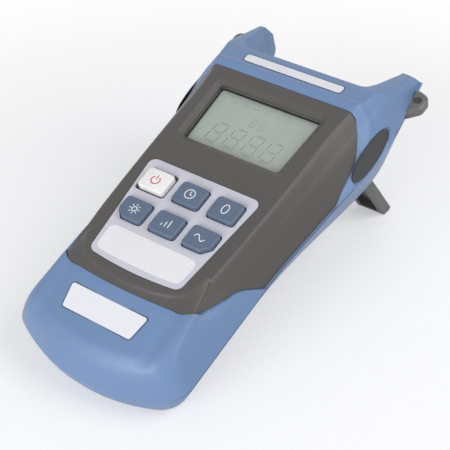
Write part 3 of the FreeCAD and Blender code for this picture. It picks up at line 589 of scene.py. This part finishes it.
def combine(mesh, operation, *others):
    # booleans one after another; every mesh here is closed
    thing = held(mesh)
    helpers = []
    for other in others:
        helper = held(other)
        helpers.append(helper)
        cut = thing.modifiers.new("cut", "BOOLEAN")
        cut.operation = operation
        cut.solver = "MANIFOLD"
        cut.object = helper
    result = baked(thing)
    for helper in helpers + [thing]:
        bpy.data.objects.remove(helper)
    if not result.polygons:
        raise RuntimeError("nothing left of " + mesh.name)
    return result


def smooth(t):
    t = min(1.0, max(0.0, t))
    return t * t * (3 - 2 * t)


def hump(distance, width):
    return math.exp(-(distance / width) ** 2)


def signedDistance(points, u, v):
    # distance to a closed polygon, positive inside
    best = 1e9
    inside = False
    for index in range(len(points)):
        au, av = points[index - 1]
        bu, bv = points[index]
        du, dv = bu - au, bv - av
        length = du * du + dv * dv
        t = max(0.0, min(1.0, ((u - au) * du + (v - av) * dv) / length)) if length else 0.0
        best = min(best, math.hypot(u - au - t * du, v - av - t * dv))
        if (av > v) != (bv > v) and u < au + (v - av) / (bv - av) * du:
            inside = not inside
    return best if inside else -best


seams = {
    # side outlines are y, z, radius and plan outlines x, y, radius
    "topSide": arcCorners([(220, -60, 0), (220, 10, 0), (135.2, 10, 0), (135.2, -2.2, 3.0),
                           (131.4, -5.6, 4.0), (122.5, -11.8, 9.0), (111.5, -14.6, 9.0),
                           (104.8, -17.2, 0), (104.8, -60, 0)]),
    "topPlan": arcCorners([(60, 110, 0), (33.4, 135.2, 9.0), (-33.4, 135.2, 9.0), (-60, 110, 0),
                           (-60, 220, 0), (60, 220, 0)]),
    "lowSide": arcCorners([(-20, -60, 0), (-20, -4.6, 0), (36.5, -4.6, 3.0), (53.5, -9.6, 14.0),
                           (62.0, -17.2, 0), (62.0, -60, 0)]),
    # the bottom seam across the face: bow radius, y in the middle, upturn from x on
    "lowBow": 200.0, "lowY": 30.7, "lowTurn": 24.0, "lowUpturn": 0.075, "lowEnd": 52,
    "gap": 0.15,
}


def lowEdgeAt(x):
    # y of the bottom cap's seam across the face, turned up at the corners
    past = max(0.0, abs(x) - seams["lowTurn"])
    return seams["lowY"] + x * x / (2 * seams["lowBow"]) + seams["lowUpturn"] * past * past


def lowPlanOutline():
    end = seams["lowEnd"]
    arc = [(x, lowEdgeAt(x)) for x in range(-end, end + 1)]
    return [(-end, -20), *arc, (end, -20)]


def shifted(points, du, dv):
    # an outline moved as a whole, to leave a gap at a seam
    return [(u + du, v + dv) for u, v in points]


def sideOutline(inset, rise, head=False):
    # head: the top cap's crest falls to the plate field before the horns
    top = rise - inset
    slope = math.tan(math.radians(shellForm["backSlope"]))
    back = -shellForm["backAtEnd"] + inset
    tip = shellForm["hornTip"] - inset
    crown = [(146.0, top, 9.0)]
    if head:
        crown = [(138.9, top, 2.5), (141.2, -0.25, 3.0), (149.0, -1.45, 2.5)]
    return arcCorners([
        (-20.0, top, 0), *crown, (170.3 - inset, -11.4 - inset, 2.5),
        (tip, -19.0, 2.0), (tip, -28.5, 4.0),
        (163.0, back - 163.0 * slope + 3.0, 9.0), (151.0, back - 151.0 * slope, 9.0),
        (-20.0, back + 20.0 * slope, 0)])


def bayOutline(grow):
    # plan of the open bay between the horns
    half = shellForm["hornGap"] + grow
    root = shellForm["hornRoot"] - grow
    far = shellForm["hornTip"] + 12
    return arcCorners([(-half, far, 0), (-half + 0.4, 168.0, 8.0), (-half + 2.4, root + 5.5, 5.0),
                       (-half + 4.5, root, 4.0), (half - 4.5, root, 4.0),
                       (half - 2.4, root + 5.5, 5.0), (half - 0.4, 168.0, 8.0), (half, far, 0)])


swell = {"start": 0.05, "fade": 3.0}    # both caps' reliefs grow from the parting plane up


def swellShare(z):
    return smooth((z - shellForm["parting"]) / swell["fade"])


def belowSwell(z):
    return z < shellForm["parting"] + swell["start"]


def sculpt(mesh, height):
    # push every point along its own normal by height(x, y, z)
    moves = [(v.co.copy(), v.normal.copy()) for v in mesh.vertices]
    for vertex, (co, normal) in zip(mesh.vertices, moves):
        shift = height(co.x, co.y, co.z)
        if shift:
            vertex.co = co + normal * shift


topSwell = {
    "from": 100, "outside": -3, "inside": 12,        # y, and distance from the seam
    "lip": -0.7, "crest": 0.95, "crestRun": 3.8,
    "fall": 0.25, "fallAt": 4.0, "fallRun": 3.0,
}


def topHeight(x, y, z):
    # lip that falls to the dark cover, crest, then the flatter plate field
    spec = topSwell
    if belowSwell(z) or y < spec["from"]:
        return 0.0
    d = max(signedDistance(seams["topSide"], y, z), signedDistance(seams["topPlan"], x, y))
    if d < spec["outside"] or d > spec["inside"]:
        return 0.0
    return swellShare(z) * (spec["lip"] + spec["crest"] * smooth(d / spec["crestRun"])
                            - spec["fall"] * smooth((d - spec["fallAt"]) / spec["fallRun"]))


lowSwell = {
    "to": 66, "dip": -0.35, "dipRun": 2.5, "outside": -3,
    # side bands with a hollow inside each: x, its growth with y, and where they begin
    "bandX": 26.6, "bandLean": 0.06, "bandFrom": 8, "bandRun": 5,
    "band": 0.42, "bandWide": 2.2, "hollow": -0.42, "hollowIn": 4.6, "hollowWide": 2.0,
    # crest over the end face
    "crest": 0.34, "crestZ": -4.9, "crestWide": 0.60, "crestX": 34, "crestRun": 18,
}


def lowHeight(x, y, z):
    # the bottom cap: sunken seam, side bands, crest over the end face
    spec = lowSwell
    if belowSwell(z) or y > spec["to"]:
        return 0.0
    d = max(signedDistance(seams["lowSide"], y, z), lowEdgeAt(x) - y)
    dip = spec["dip"] * (1 - smooth(d / spec["dipRun"])) if d > spec["outside"] else 0.0
    past = abs(x) - (spec["bandX"] + spec["bandLean"] * y)
    field = smooth((y - spec["bandFrom"]) / spec["bandRun"])
    band = spec["band"] * hump(past, spec["bandWide"]) * field
    hollow = spec["hollow"] * hump(past + spec["hollowIn"], spec["hollowWide"]) * field
    crest = spec["crest"] * hump(z - spec["crestZ"], spec["crestWide"])
    crest *= smooth((spec["crestX"] - abs(x)) / spec["crestRun"])
    return swellShare(z) * (dip + band + hollow + crest)


finger = {
    "long": 13.9, "short": 5.2, "facing": 76.0, "yaw": 2.0, "at": (41.0, 130.0, -14.5),
    # height over the floor, growth of the oval
    "flare": [(0.0, 0.0), (0.5, 0.28), (1.2, 0.85), (2.2, 1.8), (6.0, 5.6)],
    "sides": 72,
}


def fingerCutter(side):
    # tapered oval scoop; its floor is the seat of the oval label
    turn = Matrix.Rotation(math.radians(finger["facing"]), 4, "Y") @ Matrix.Rotation(
        math.radians(90 + finger["yaw"]), 4, "Z")
    rows = []
    for height, growth in finger["flare"]:
        row = []
        for step in range(finger["sides"]):
            a = 2 * math.pi * step / finger["sides"]
            p = turn @ Vector(((finger["long"] + growth) * math.cos(a),
                               (finger["short"] + growth) * math.sin(a), height))
            p = p + Vector(finger["at"])
            row.append((p.x * side, p.y, p.z))
        rows.append(row)
    return loft("scoop", rows)


def fingerCutters():
    return [fingerCutter(1), fingerCutter(-1)]


hornEdge = {
    # x where the rounding begins, its width and depth, and the block outside it
    "x": 33.2, "wide": 5.0, "deep": 4.9, "steps": 8, "over": 4.0,
    "lowX": 44.0, "lowZ": -13.0, "outX": 60.0,
    "from": (0, 147.0, -0.6), "to": (0, 200.0, -25.2), "lift": (0, 0.42, 0.907),
}


def hornTrim(side):
    # what is cut off outside each horn so that its top edge is round
    spec = hornEdge
    edge = [(spec["x"], spec["over"]), (spec["x"], 0.0)]
    for step in range(1, spec["steps"] + 1):
        a = math.radians(90 * step / spec["steps"])
        edge.append((spec["x"] + spec["wide"] * math.sin(a), -spec["deep"] * (1 - math.cos(a))))
    edge += [(spec["lowX"], spec["lowZ"]), (spec["outX"], spec["lowZ"]),
             (spec["outX"], spec["over"])]
    lift = Vector(spec["lift"])
    return loft("trim", [[Vector(spec[end]) + lift * h + Vector((x * side, 0, 0))
                          for x, h in edge] for end in ("from", "to")])


def softened(mesh, width, segments=3, limit=35):
    thing = held(mesh)
    addBevel(thing, width, segments, limit)
    result = baked(thing)
    bpy.data.objects.remove(thing)
    return result


def settled(name, mesh, body, slot, sharp):
    # a mesh in the body's millimetres becomes a piece in the row frame
    mesh.transform(toRowMatrix())
    shadeByAngle(mesh, sharp)
    mesh.name = name
    return newPiece(name, mesh, body, slot)


def placeShell(name, mesh, node, sharp=38):
    piece = settled(name, mesh, bodyOf(node), slots[node], sharp)
    dress(piece, looks[slots[node]])
    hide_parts(node)
    print("shell", name, len(mesh.polygons))


roomForm = {"steps": 2, "backFrom": 36, "backTo": 60, "backY": 130, "backZ": -14,
            "backRadius": 17, "backSides": 32}


def makeRoom():
    # hollow inside of all front shells, kept clear of the bay and the finger scoops
    spec = roomForm
    inset = shellForm["wall"]
    skin = frontSkin("room", inset, shellForm["capRise"], spec["steps"])
    hollow = combine(skin, "INTERSECT", acrossBlock(sideOutline(inset, shellForm["capRise"])))
    backing = [rod((spec["backFrom"] * side, spec["backY"], spec["backZ"]),
                   (spec["backTo"] * side, spec["backY"], spec["backZ"]),
                   spec["backRadius"], spec["backSides"]) for side in (-1, 1)]
    return combine(hollow, "DIFFERENCE", planBlock(bayOutline(inset), "bayTop"), *backing)


plates = {
    # middle on the cap, fall in degrees, half widths and height, corner, depth and play of its seat
    "top_plate": {"at": (0, 143.6, -0.52), "turn": -8.8, "low": 22.2, "high": 22.4, "tall": 2.05,
                  "corner": 1.3, "sink": 0.12, "play": 0.1},
    "bottom_plate": {"at": (-0.7, 20.8, -3.05), "turn": 9.0, "low": 15.1, "high": 16.9,
                     "tall": 4.7, "corner": 1.0, "sink": 0.25, "play": 0.12},
}
card = {"proud": 0.14, "edge": 0.06, "rim": 0.2, "rimWide": 0.24, "rimHigh": 0.12}


def plateMatrix(name):
    return (Matrix.Translation(plates[name]["at"])
            @ Matrix.Rotation(math.radians(plates[name]["turn"]), 4, "X"))


def plateLoop(name, grow):
    spec = plates[name]
    low, high, tall = spec["low"] + grow, spec["high"] + grow, spec["tall"] + grow
    return arcCorners([(-low, -tall, spec["corner"]), (low, -tall, spec["corner"]),
                       (high, tall, spec["corner"]), (-high, tall, spec["corner"])])


def plateBlock(name, high, grow=0.0):
    block = prism("plate", plateLoop(name, grow), -plates[name]["sink"], high)
    block.transform(plateMatrix(name))
    return block


def plateSeat(name):
    return plateBlock(name, cutting["plateTop"], plates[name]["play"])


def makePlates():
    for name in plates:
        block = softened(plateBlock(name, card["proud"]), card["edge"], 2)
        placeShell(name + "Card", block, name, 20)


topCap = {"crown": 0.75, "edge": 0.3,
          "portFrom": (0, 144.2, -18.4), "portTo": (0, 160, -18.4), "portRadius": 9.2}


def makeTopCap(room):
    skin = frontSkin("topCap", 0.0, shellForm["capRise"])
    sculpt(skin, topHeight)
    skin = combine(skin, "INTERSECT", acrossBlock(sideOutline(0.0, topCap["crown"], True)))
    zone = combine(acrossBlock(seams["topSide"]), "UNION", planBlock(seams["topPlan"], "seamTop"))
    cap = combine(skin, "INTERSECT", zone)
    port = rod(topCap["portFrom"], topCap["portTo"], topCap["portRadius"], 64)
    cap = combine(cap, "DIFFERENCE", planBlock(bayOutline(0.0), "bayTop"), room,
                  *fingerCutters(), hornTrim(1), hornTrim(-1), plateSeat("top_plate"), port)
    placeShell("topCapShell", softened(cap, topCap["edge"]), "top_cap")


lowCap = {"edge": 0.25}


def makeLowCap(room):
    skin = frontSkin("lowCap", 0.0, 0.0)
    sculpt(skin, lowHeight)
    zone = combine(acrossBlock(seams["lowSide"]), "UNION", planBlock(lowPlanOutline(), "seamTop"))
    cap = combine(skin, "INTERSECT", zone)
    cap = combine(cap, "DIFFERENCE", room, plateSeat("bottom_plate"))
    placeShell("lowCapShell", softened(cap, lowCap["edge"]), "bottom_cap")


display = {
    "lowY": 98.6, "topY": 127.6, "lowHalf": 21.7, "topHalf": 23.2, "corner": 1.4,
    # outward growth and height of the well's wall, from below up
    "well": [(0, -4.6), (0, -1.22), (0.15, -1.1), (2.15, -0.1), (2.3, 0.05), (2.5, 1)],
    # growth, bottom and top of the inner rim and of the window's pocket
    "rim": (2.5, -4.6, -1.2), "pocket": (1.3, -8, -2.6),
}


def windowLoop(grow):
    radius = display["corner"] + grow * 0.6
    low, high = display["lowHalf"] + grow, display["topHalf"] + grow
    lowY, topY = display["lowY"] - grow, display["topY"] + grow
    return arcCorners([(-low, lowY, radius), (low, lowY, radius),
                       (high, topY, radius), (-high, topY, radius)])


def displayCutter():
    return loft("well", [[(u, v, z) for u, v in windowLoop(grow)] for grow, z in display["well"]])


def windowBlock(name):
    grow, low, high = display[name]
    return prism(name, windowLoop(grow), low, high)


keypad = {
    # names, y, pitch, and whether the outer keys have a lower corner cut off
    "rows": [(("power_key", "key_timer", "key_zero"), 74.4, 15.7, 0),
             (("key_light", "key_level", "key_wave"), 59.7, 15.1, 1)],
    "wide": 11.6, "tall": 9.4, "cut": 3.2, "cutRise": 3.4, "corner": 1.5,
    "gap": 0.4, "filmGap": 0.35, "powerGap": 0.95, "holeLow": -5, "holeHigh": 3,
}


def keyPlaces():
    # name, x, y and the cut corner: -1 left, 1 right
    return [(name, column * pitch, y, column * cut) for names, y, pitch, cut in keypad["rows"]
            for column, name in enumerate(names, -1)]


def keyLoop(x, y, cut, grow):
    wide, tall = keypad["wide"] / 2 + grow, keypad["tall"] / 2 + grow
    left = wide - (keypad["cut"] if cut < 0 else 0)
    right = wide - (keypad["cut"] if cut > 0 else 0)
    points = [(x - left, y - tall), (x + right, y - tall)]
    if cut > 0:
        points.append((x + wide, y - tall + keypad["cutRise"]))
    points += [(x + wide, y + tall), (x - wide, y + tall)]
    if cut < 0:
        points.append((x - wide, y - tall + keypad["cutRise"]))
    return arcCorners([(*point, keypad["corner"]) for point in points], 6)


def keyHoles(gap, powerGap):
    return [prism("hole", keyLoop(x, y, cut, powerGap if name == "power_key" else gap),
                  keypad["holeLow"], keypad["holeHigh"]) for name, x, y, cut in keyPlaces()]


overlay = {
    "low": 37.4, "top": 83.9, "half": 20.2, "topHalf": 25.0, "corner": 3.0,
    "bowHalf": 22.0, "bowRise": 1.6, "bowSteps": 16,
    "filmLow": -0.28, "filmHigh": 0.07, "filmEdge": 0.05,
    "seatPlay": 0.3, "seatLow": -0.3,
    # the pale panel under the keys
    "panelLow": 40.6, "panelMiddle": 39.85, "panelTop": 51.7, "panelHalf": 18.7,
    "panelTopHalf": 19.6, "panelCorner": 2.6, "panelBow": 60.0,
    "panelFrom": 0.03, "panelTo": 0.13, "panelEdge": 0.04,
}


def overlayLoop(grow):
    # its lower edge is bowed
    spec = overlay
    bow = spec["bowHalf"] ** 2 / (2 * spec["bowRise"])
    half, topHalf = spec["half"] + grow, spec["topHalf"] + grow
    points = []
    for step in range(spec["bowSteps"] + 1):
        x = -half + 2 * half * step / spec["bowSteps"]
        points.append((x, spec["low"] - grow + bow - math.sqrt(bow * bow - x * x)))
    radius, top = spec["corner"] + grow, spec["top"] + grow
    return arcCorners([(*points[0], radius), *((u, v, 0) for u, v in points[2:-2]),
                       (*points[-1], radius), (topHalf, top, radius), (-topHalf, top, radius)])


def makeOverlay():
    spec = overlay
    film = prism("film", overlayLoop(0), spec["filmLow"], spec["filmHigh"])
    film = combine(film, "DIFFERENCE", *keyHoles(keypad["filmGap"], keypad["powerGap"]))
    placeShell("overlaySheet", softened(film, spec["filmEdge"], 2, 50), "keypad_overlay", 20)
    half, topHalf, radius = spec["panelHalf"], spec["panelTopHalf"], spec["panelCorner"]
    panel = arcCorners([(-half, spec["panelLow"], radius),
                        (-half / 2, spec["panelMiddle"], spec["panelBow"]),
                        (half / 2, spec["panelMiddle"], spec["panelBow"]),
                        (half, spec["panelLow"], radius),
                        (topHalf, spec["panelTop"], radius), (-topHalf, spec["panelTop"], radius)])
    panel = softened(prism("panel", panel, spec["panelFrom"], spec["panelTo"]),
                     spec["panelEdge"], 2, 50)
    piece = settled("overlayPanel", panel, "case", "overlay_film", 20)
    dress(piece, printedFilm("panelFilm", palette["panel"], 0.36))


cover = {"posts": [(-21.5, 42), (21.5, 42), (-22.5, 91), (22.5, 91)],
         "postLow": -8.4, "postHigh": -1.0, "postRadius": 2.6, "postSides": 32, "edge": 0.22}


def makeCover(room):
    inset, lift, gap = shellForm["coverInset"], shellForm["capRise"], seams["gap"]
    skin = frontSkin("cover", inset, lift)
    skin = combine(skin, "INTERSECT", acrossBlock(sideOutline(inset, lift)))
    posts = [rod((x, y, cover["postLow"]), (x, y, cover["postHigh"]), cover["postRadius"],
                 cover["postSides"]) for x, y in cover["posts"]]
    shell = combine(skin, "DIFFERENCE",
                    acrossBlock(shifted(seams["topSide"], -gap, -gap / 2)),
                    planBlock(shifted(seams["topPlan"], 0, -gap), "seamTop"),
                    acrossBlock(shifted(seams["lowSide"], gap, gap)),
                    planBlock(shifted(lowPlanOutline(), 0, gap), "seamTop"),
                    *fingerCutters(), room)
    shell = combine(shell, "UNION", windowBlock("rim"), *posts)
    film = prism("film", overlayLoop(overlay["seatPlay"]), overlay["seatLow"],
                 keypad["holeHigh"])
    shell = combine(shell, "DIFFERENCE", displayCutter(), windowBlock("pocket"), film,
                    *keyHoles(keypad["gap"], keypad["gap"]))
    placeShell("coverShell", softened(shell, cover["edge"], 2, 50), "front_cover", 32)


room = makeRoom()
makeTopCap(room)
makeLowCap(room)
makeCover(room)
makePlates()
makeOverlay()


def strokeTree():
    # the edges of a mesh become raised strokes of a plain section
    tree = bpy.data.node_groups.new("strokes", "GeometryNodeTree")
    face = tree.interface
    face.new_socket(name="Geometry", in_out="OUTPUT", socket_type="NodeSocketGeometry")
    for label, kind in (("Geometry", "Geometry"), ("Wide", "Float"), ("High", "Float"),
                        ("Finish", "Material")):
        face.new_socket(name=label, in_out="INPUT", socket_type="NodeSocket" + kind)
    enter = tree.nodes.new("NodeGroupInput")
    leave = tree.nodes.new("NodeGroupOutput")
    line = tree.nodes.new("GeometryNodeMeshToCurve")
    level = tree.nodes.new("GeometryNodeSetCurveNormal")
    level.mode = "Z_UP"
    section = tree.nodes.new("GeometryNodeCurvePrimitiveQuadrilateral")
    sweep = tree.nodes.new("GeometryNodeCurveToMesh")
    sweep.inputs["Fill Caps"].default_value = True
    real = tree.nodes.new("GeometryNodeRealizeInstances")
    paint = tree.nodes.new("GeometryNodeSetMaterial")
    link = tree.links.new
    link(enter.outputs["Geometry"], line.inputs[0])
    link(line.outputs[0], level.inputs[0])
    link(enter.outputs["Wide"], section.inputs["Width"])
    link(enter.outputs["High"], section.inputs["Height"])
    link(level.outputs[0], sweep.inputs["Curve"])
    link(section.outputs[0], sweep.inputs["Profile Curve"])
    link(sweep.outputs[0], real.inputs[0])
    link(real.outputs[0], paint.inputs["Geometry"])
    link(enter.outputs["Finish"], paint.inputs["Material"])
    link(paint.outputs[0], leave.inputs[0])
    return tree


strokeNodes = strokeTree()


def strokes(name, lines, wide, high, finish, body, slot):
    # lines are (points, closed) in the body's frame
    points, edges = [], []
    for line, closed in lines:
        first = len(points)
        points += [tuple(p) for p in line]
        edges += [(k, k + 1) for k in range(first, len(points) - 1)]
        if closed:
            edges.append((len(points) - 1, first))
    mesh = bpy.data.meshes.new(name)
    mesh.from_pydata(points, edges, [])
    holder = held(mesh)
    lay = holder.modifiers.new("lay", "NODES")
    lay.node_group = strokeNodes
    values = {"Wide": wide, "High": high, "Finish": finish}
    for item in strokeNodes.interface.items_tree:
        if item.in_out == "INPUT" and item.name in values:
            lay[item.identifier] = values[item.name]
    result = baked(holder)
    bpy.data.objects.remove(holder)
    work = bmesh.new()
    work.from_mesh(result)
    bmesh.ops.recalc_face_normals(work, faces=work.faces)
    work.to_mesh(result)
    work.free()
    result.transform(toRowMatrix())
    newPiece(name, result, body, slot)


def topOf(node):
    # highest z of a CAD node in the body's own frame
    back = toRowMatrix().inverted()
    return max((back @ v.co).z for v in frame["nodes"][node].data.vertices)


def arcLine(x, y, wide, tall, start=0, end=350, steps=28):
    return [(x + wide * math.cos(math.radians(start + (end - start) * k / steps)),
             y + tall * math.sin(math.radians(start + (end - start) * k / steps)))
            for k in range(steps + 1)]


mark = {"wide": 0.42, "high": 0.08, "lift": 0.02, "shift": 0.5,
        "rayFrom": 1.6, "rayTo": 2.3, "waveHalf": 2.3, "waveTall": 1.15, "waveSteps": 24}


def waveLine():
    steps = mark["waveSteps"]
    return [(-mark["waveHalf"] + 2 * mark["waveHalf"] * k / steps,
             mark["waveTall"] * math.sin(2 * math.pi * k / steps)) for k in range(steps + 1)]


keyMarks = {
    # strokes of each mark from the key's middle: points, closed
    "power_key": [(arcLine(0, -0.25, 1.75, 1.75, 128, 412), False), ([(0, 0.2), (0, 2.1)], False)],
    "key_timer": [(arcLine(0, 0, 2.0, 2.0), True), ([(0, 1.25), (0, 0), (0.95, -0.55)], False)],
    "key_zero": [(arcLine(0, 0, 1.25, 2.0), True)],
    "key_light": [(arcLine(0, 0, 1.0, 1.0), True)] + [
        ([(r * math.cos(a), r * math.sin(a)) for r in (mark["rayFrom"], mark["rayTo"])], False)
        for a in (math.radians(45 * k) for k in range(8))],
    "key_level": [([(x, -1.7), (x, top)], False)
                  for x, top in ((-1.5, -0.6), (0, 0.5), (1.5, 1.7))],
    "key_wave": [(waveLine(), False)],
}
markWhite = printedFilm("markWhite", palette["markWhite"])
markRed = printedFilm("markRed", palette["markRed"])
for name, x, y, cut in keyPlaces():
    level = topOf(name) + mark["lift"]
    lines = [([(x + u - mark["shift"] * cut, y + v, level) for u, v in line], closed)
             for line, closed in keyMarks[name]]
    strokes(name + "Mark", lines, mark["wide"], mark["high"],
            markRed if name == "power_key" else markWhite, bodyOf(name), slots[name])
print("keys marked")

ghosts = {
    # faint unlit segments: x, y, width and height of a digit, and where short bars begin
    "ghostDigits": {"digits": [(-12.0 + 8.3 * k, 107.3, 5.0, 9.2) for k in range(4)],
                    "bars": [], "wide": 1.05},
    "ghostMarks": {"digits": [(-1.8, 117.0, 2.2, 4.0), (2.3, 117.0, 2.2, 4.0)],
                   "bars": [(-16 + 5 * k, 123.4) for k in range(7)], "wide": 0.5},
}
ghost = {"barLong": 2.6, "high": 0.05, "lift": 0.02, "lean": 0.12, "gap": 0.12, "shade": 0.87}


def digitLines(x, y, wide, tall):
    # seven bars of one digit, leaning a little
    gap, w, t = ghost["gap"] * wide, wide / 2, tall / 2
    bars = [((-w + gap, v), (w - gap, v)) for v in (t, 0, -t)]
    for u in (-w, w):
        bars += [((u, gap), (u, t - gap)), ((u, -t + gap), (u, -gap))]
    return [[(x + u + v * ghost["lean"], y + v) for u, v in bar] for bar in bars]


ghostTint = printedFilm("ghostTint", tint(palette["lcd"], ghost["shade"])[:3], 0.35, 300.0)
glassTop = topOf("display_panel") + ghost["lift"]
for name, group in ghosts.items():
    flat = [line for digit in group["digits"] for line in digitLines(*digit)]
    flat += [[(x, y), (x + ghost["barLong"], y)] for x, y in group["bars"]]
    strokes(name, [([(u, v, glassTop) for u, v in line], False) for line in flat],
            group["wide"], ghost["high"], ghostTint, "case", "lcd")

# black line all round the window's edge, laid on the glass: a gasket, and painted shadow of the
# well's walls on the glass
gasketAndShade = {"grow": -0.1, "wide": 1.0, "high": 0.06}
gasketAndShadeLine = [(x, y, glassTop) for x, y in windowLoop(gasketAndShade["grow"])]
strokes("windowGasketAndShade", [(gasketAndShadeLine, True)], gasketAndShade["wide"], gasketAndShade["high"],
        softRubber("gasketAndShadeRubber", palette["gasketAndShade"]), "case", "seal_film")

# dark plastic of the joints; round the name plates it also stands for painted shade
jointDark = mouldedPlastic("jointDark", palette["joint"], 0.6)
joint = {
    "wide": 0.22, "inset": 0.05, "endY": 0.17, "corner": 9.0,
    # y where the line stops and goes on at the finger hollows, and where it ends
    "hollowFrom": 115.5, "hollowTo": 144.5, "headEnd": 169.5,
}


def partingLines():
    # dark joint between the front shells and the rear case, open at the finger hollows
    def halfAt(y):
        return stationAt(y, "flank") - joint["inset"]
    half = [(x, y) for x, y in halfOutline(halfAt, joint["endY"], joint["corner"])
            if y < joint["headEnd"]]
    low = [(x, y) for x, y in half if y < joint["hollowFrom"]]
    high = [(x, y) for x, y in half if y > joint["hollowTo"]]
    level = shellForm["parting"]
    flat = [[(-x, y) for x, y in reversed(low)] + low[1:]]
    flat += [[(x * side, y) for x, y in high] for side in (-1, 1)]
    return [([(x, y, level) for x, y in line], False) for line in flat]


def plateJointsAndShade():
    # dark line round both name plates: the joint at their seats, and painted shade along their
    # edges
    return [([plateMatrix(name) @ Vector((u, v, 0.0)) for u, v in plateLoop(name, card["rim"])],
             True) for name in plates]


strokes("plateJointsAndShade", plateJointsAndShade(), card["rimWide"], card["rimHigh"], jointDark, "case",
        "cap_plastic")
strokes("partingLine", partingLines(), joint["wide"], joint["wide"], jointDark, "case",
        "cap_plastic")
print("lines laid")

studio = {
    "floorSize": 3.0,
    "worldStrength": 0.40,
    "worldTint": (0.96, 0.97, 1.0, 1),
    "shadowReach": 0.115,    # metres from the middle where the shadow starts to fade
    "shadowFade": 2.6,       # times that reach, where it has gone
    "floorWhite": 0.45,      # share of plain white that rays from the lens see
    "aim": (0, 0, 0.03),
    # place, size and power of each lamp
    "lamps": {"softKey": ((0.0, -1.02, 0.30), 0.62, 8.0),
              "softFill": ((0.62, 0.15, 0.66), 0.55, 4.0),
              "softRim": ((-0.35, 0.75, 0.60), 0.8, 0.8)},
}


def makeFloor():
    bpy.ops.mesh.primitive_plane_add(size=studio["floorSize"])
    floor = bpy.context.object
    floor.name = "studioFloor"
    s = Shader("paleFloor")
    fine = s.noise(40.0, 3.0)
    tone = s.mixColour(fine, (0.86, 0.86, 0.87, 1), (0.90, 0.90, 0.91, 1))
    white = s.add("ShaderNodeEmission", {}, {"Color": (1, 1, 1, 1), "Strength": 1.0})
    seen = s.seenRays()
    tone = s.mixColour(seen, tone, (0.98, 0.98, 0.985, 1))
    lit = s.add("ShaderNodeBsdfDiffuse", {}, {"Color": tone})
    reach = s.add("ShaderNodeVectorMath", {"operation": "LENGTH"}, {0: s.place()}, out="Value")
    share = s.add("ShaderNodeMapRange", {"interpolation_type": "SMOOTHSTEP"}, {
        "Value": reach, "From Min": studio["shadowReach"],
        "From Max": studio["shadowReach"] * studio["shadowFade"],
        "To Min": studio["floorWhite"], "To Max": 1.0})
    s.finish(s.mixShader(seen * share, lit, white))
    dress(floor, s.material)


def makeWorld():
    world = bpy.data.worlds.new("studio")
    bpy.context.scene.world = world
    s = Shader("studio", world)
    lit = s.add("ShaderNodeBackground", {}, {"Color": studio["worldTint"],
                                             "Strength": studio["worldStrength"]})
    white = s.add("ShaderNodeBackground", {}, {"Color": (1, 1, 1, 1), "Strength": 1.0})
    s.finish(s.mixShader(s.seenRays(), lit, white))


def makeLamp(name, place, size, power):
    lamp = bpy.data.lights.new(name, "AREA")
    lamp.size = size
    lamp.energy = power
    thing = bpy.data.objects.new(name, lamp)
    bpy.context.scene.collection.objects.link(thing)
    thing.location = place
    aim = Vector(studio["aim"]) - Vector(place)
    thing.rotation_euler = aim.to_track_quat("-Z", "Y").to_euler()


viewpoint = {
    # millimetres of lens and sensor, then place and directions in the body's own frame
    "lens": 94.557, "sensor": 36, "place": (213.0, -110.6, 321.5),
    "right": (0.811, 0.5571, -0.1786), "up": (-0.3526, 0.7091, 0.6106),
    "ahead": (-0.4668, 0.4322, -0.7715),
}


def makeCamera():
    view = bpy.data.cameras.new("view")
    view.lens = viewpoint["lens"]
    view.sensor_width = viewpoint["sensor"]
    camera = bpy.data.objects.new("view", view)
    bpy.context.scene.collection.objects.link(camera)
    right, up, ahead = (leaning(3) @ Vector(viewpoint[key]) for key in ("right", "up", "ahead"))
    turn = Matrix((right, up, -ahead)).transposed().to_4x4()
    place = toRowMatrix() @ Vector(viewpoint["place"])
    camera.matrix_world = Matrix.Translation(place) @ turn
    bpy.context.scene.camera = camera


makeFloor()
makeWorld()
for name, (place, size, power) in studio["lamps"].items():
    makeLamp(name, place, size, power)
makeCamera()
bpy.context.scene.view_settings.view_transform = "Standard"
print("studio made")
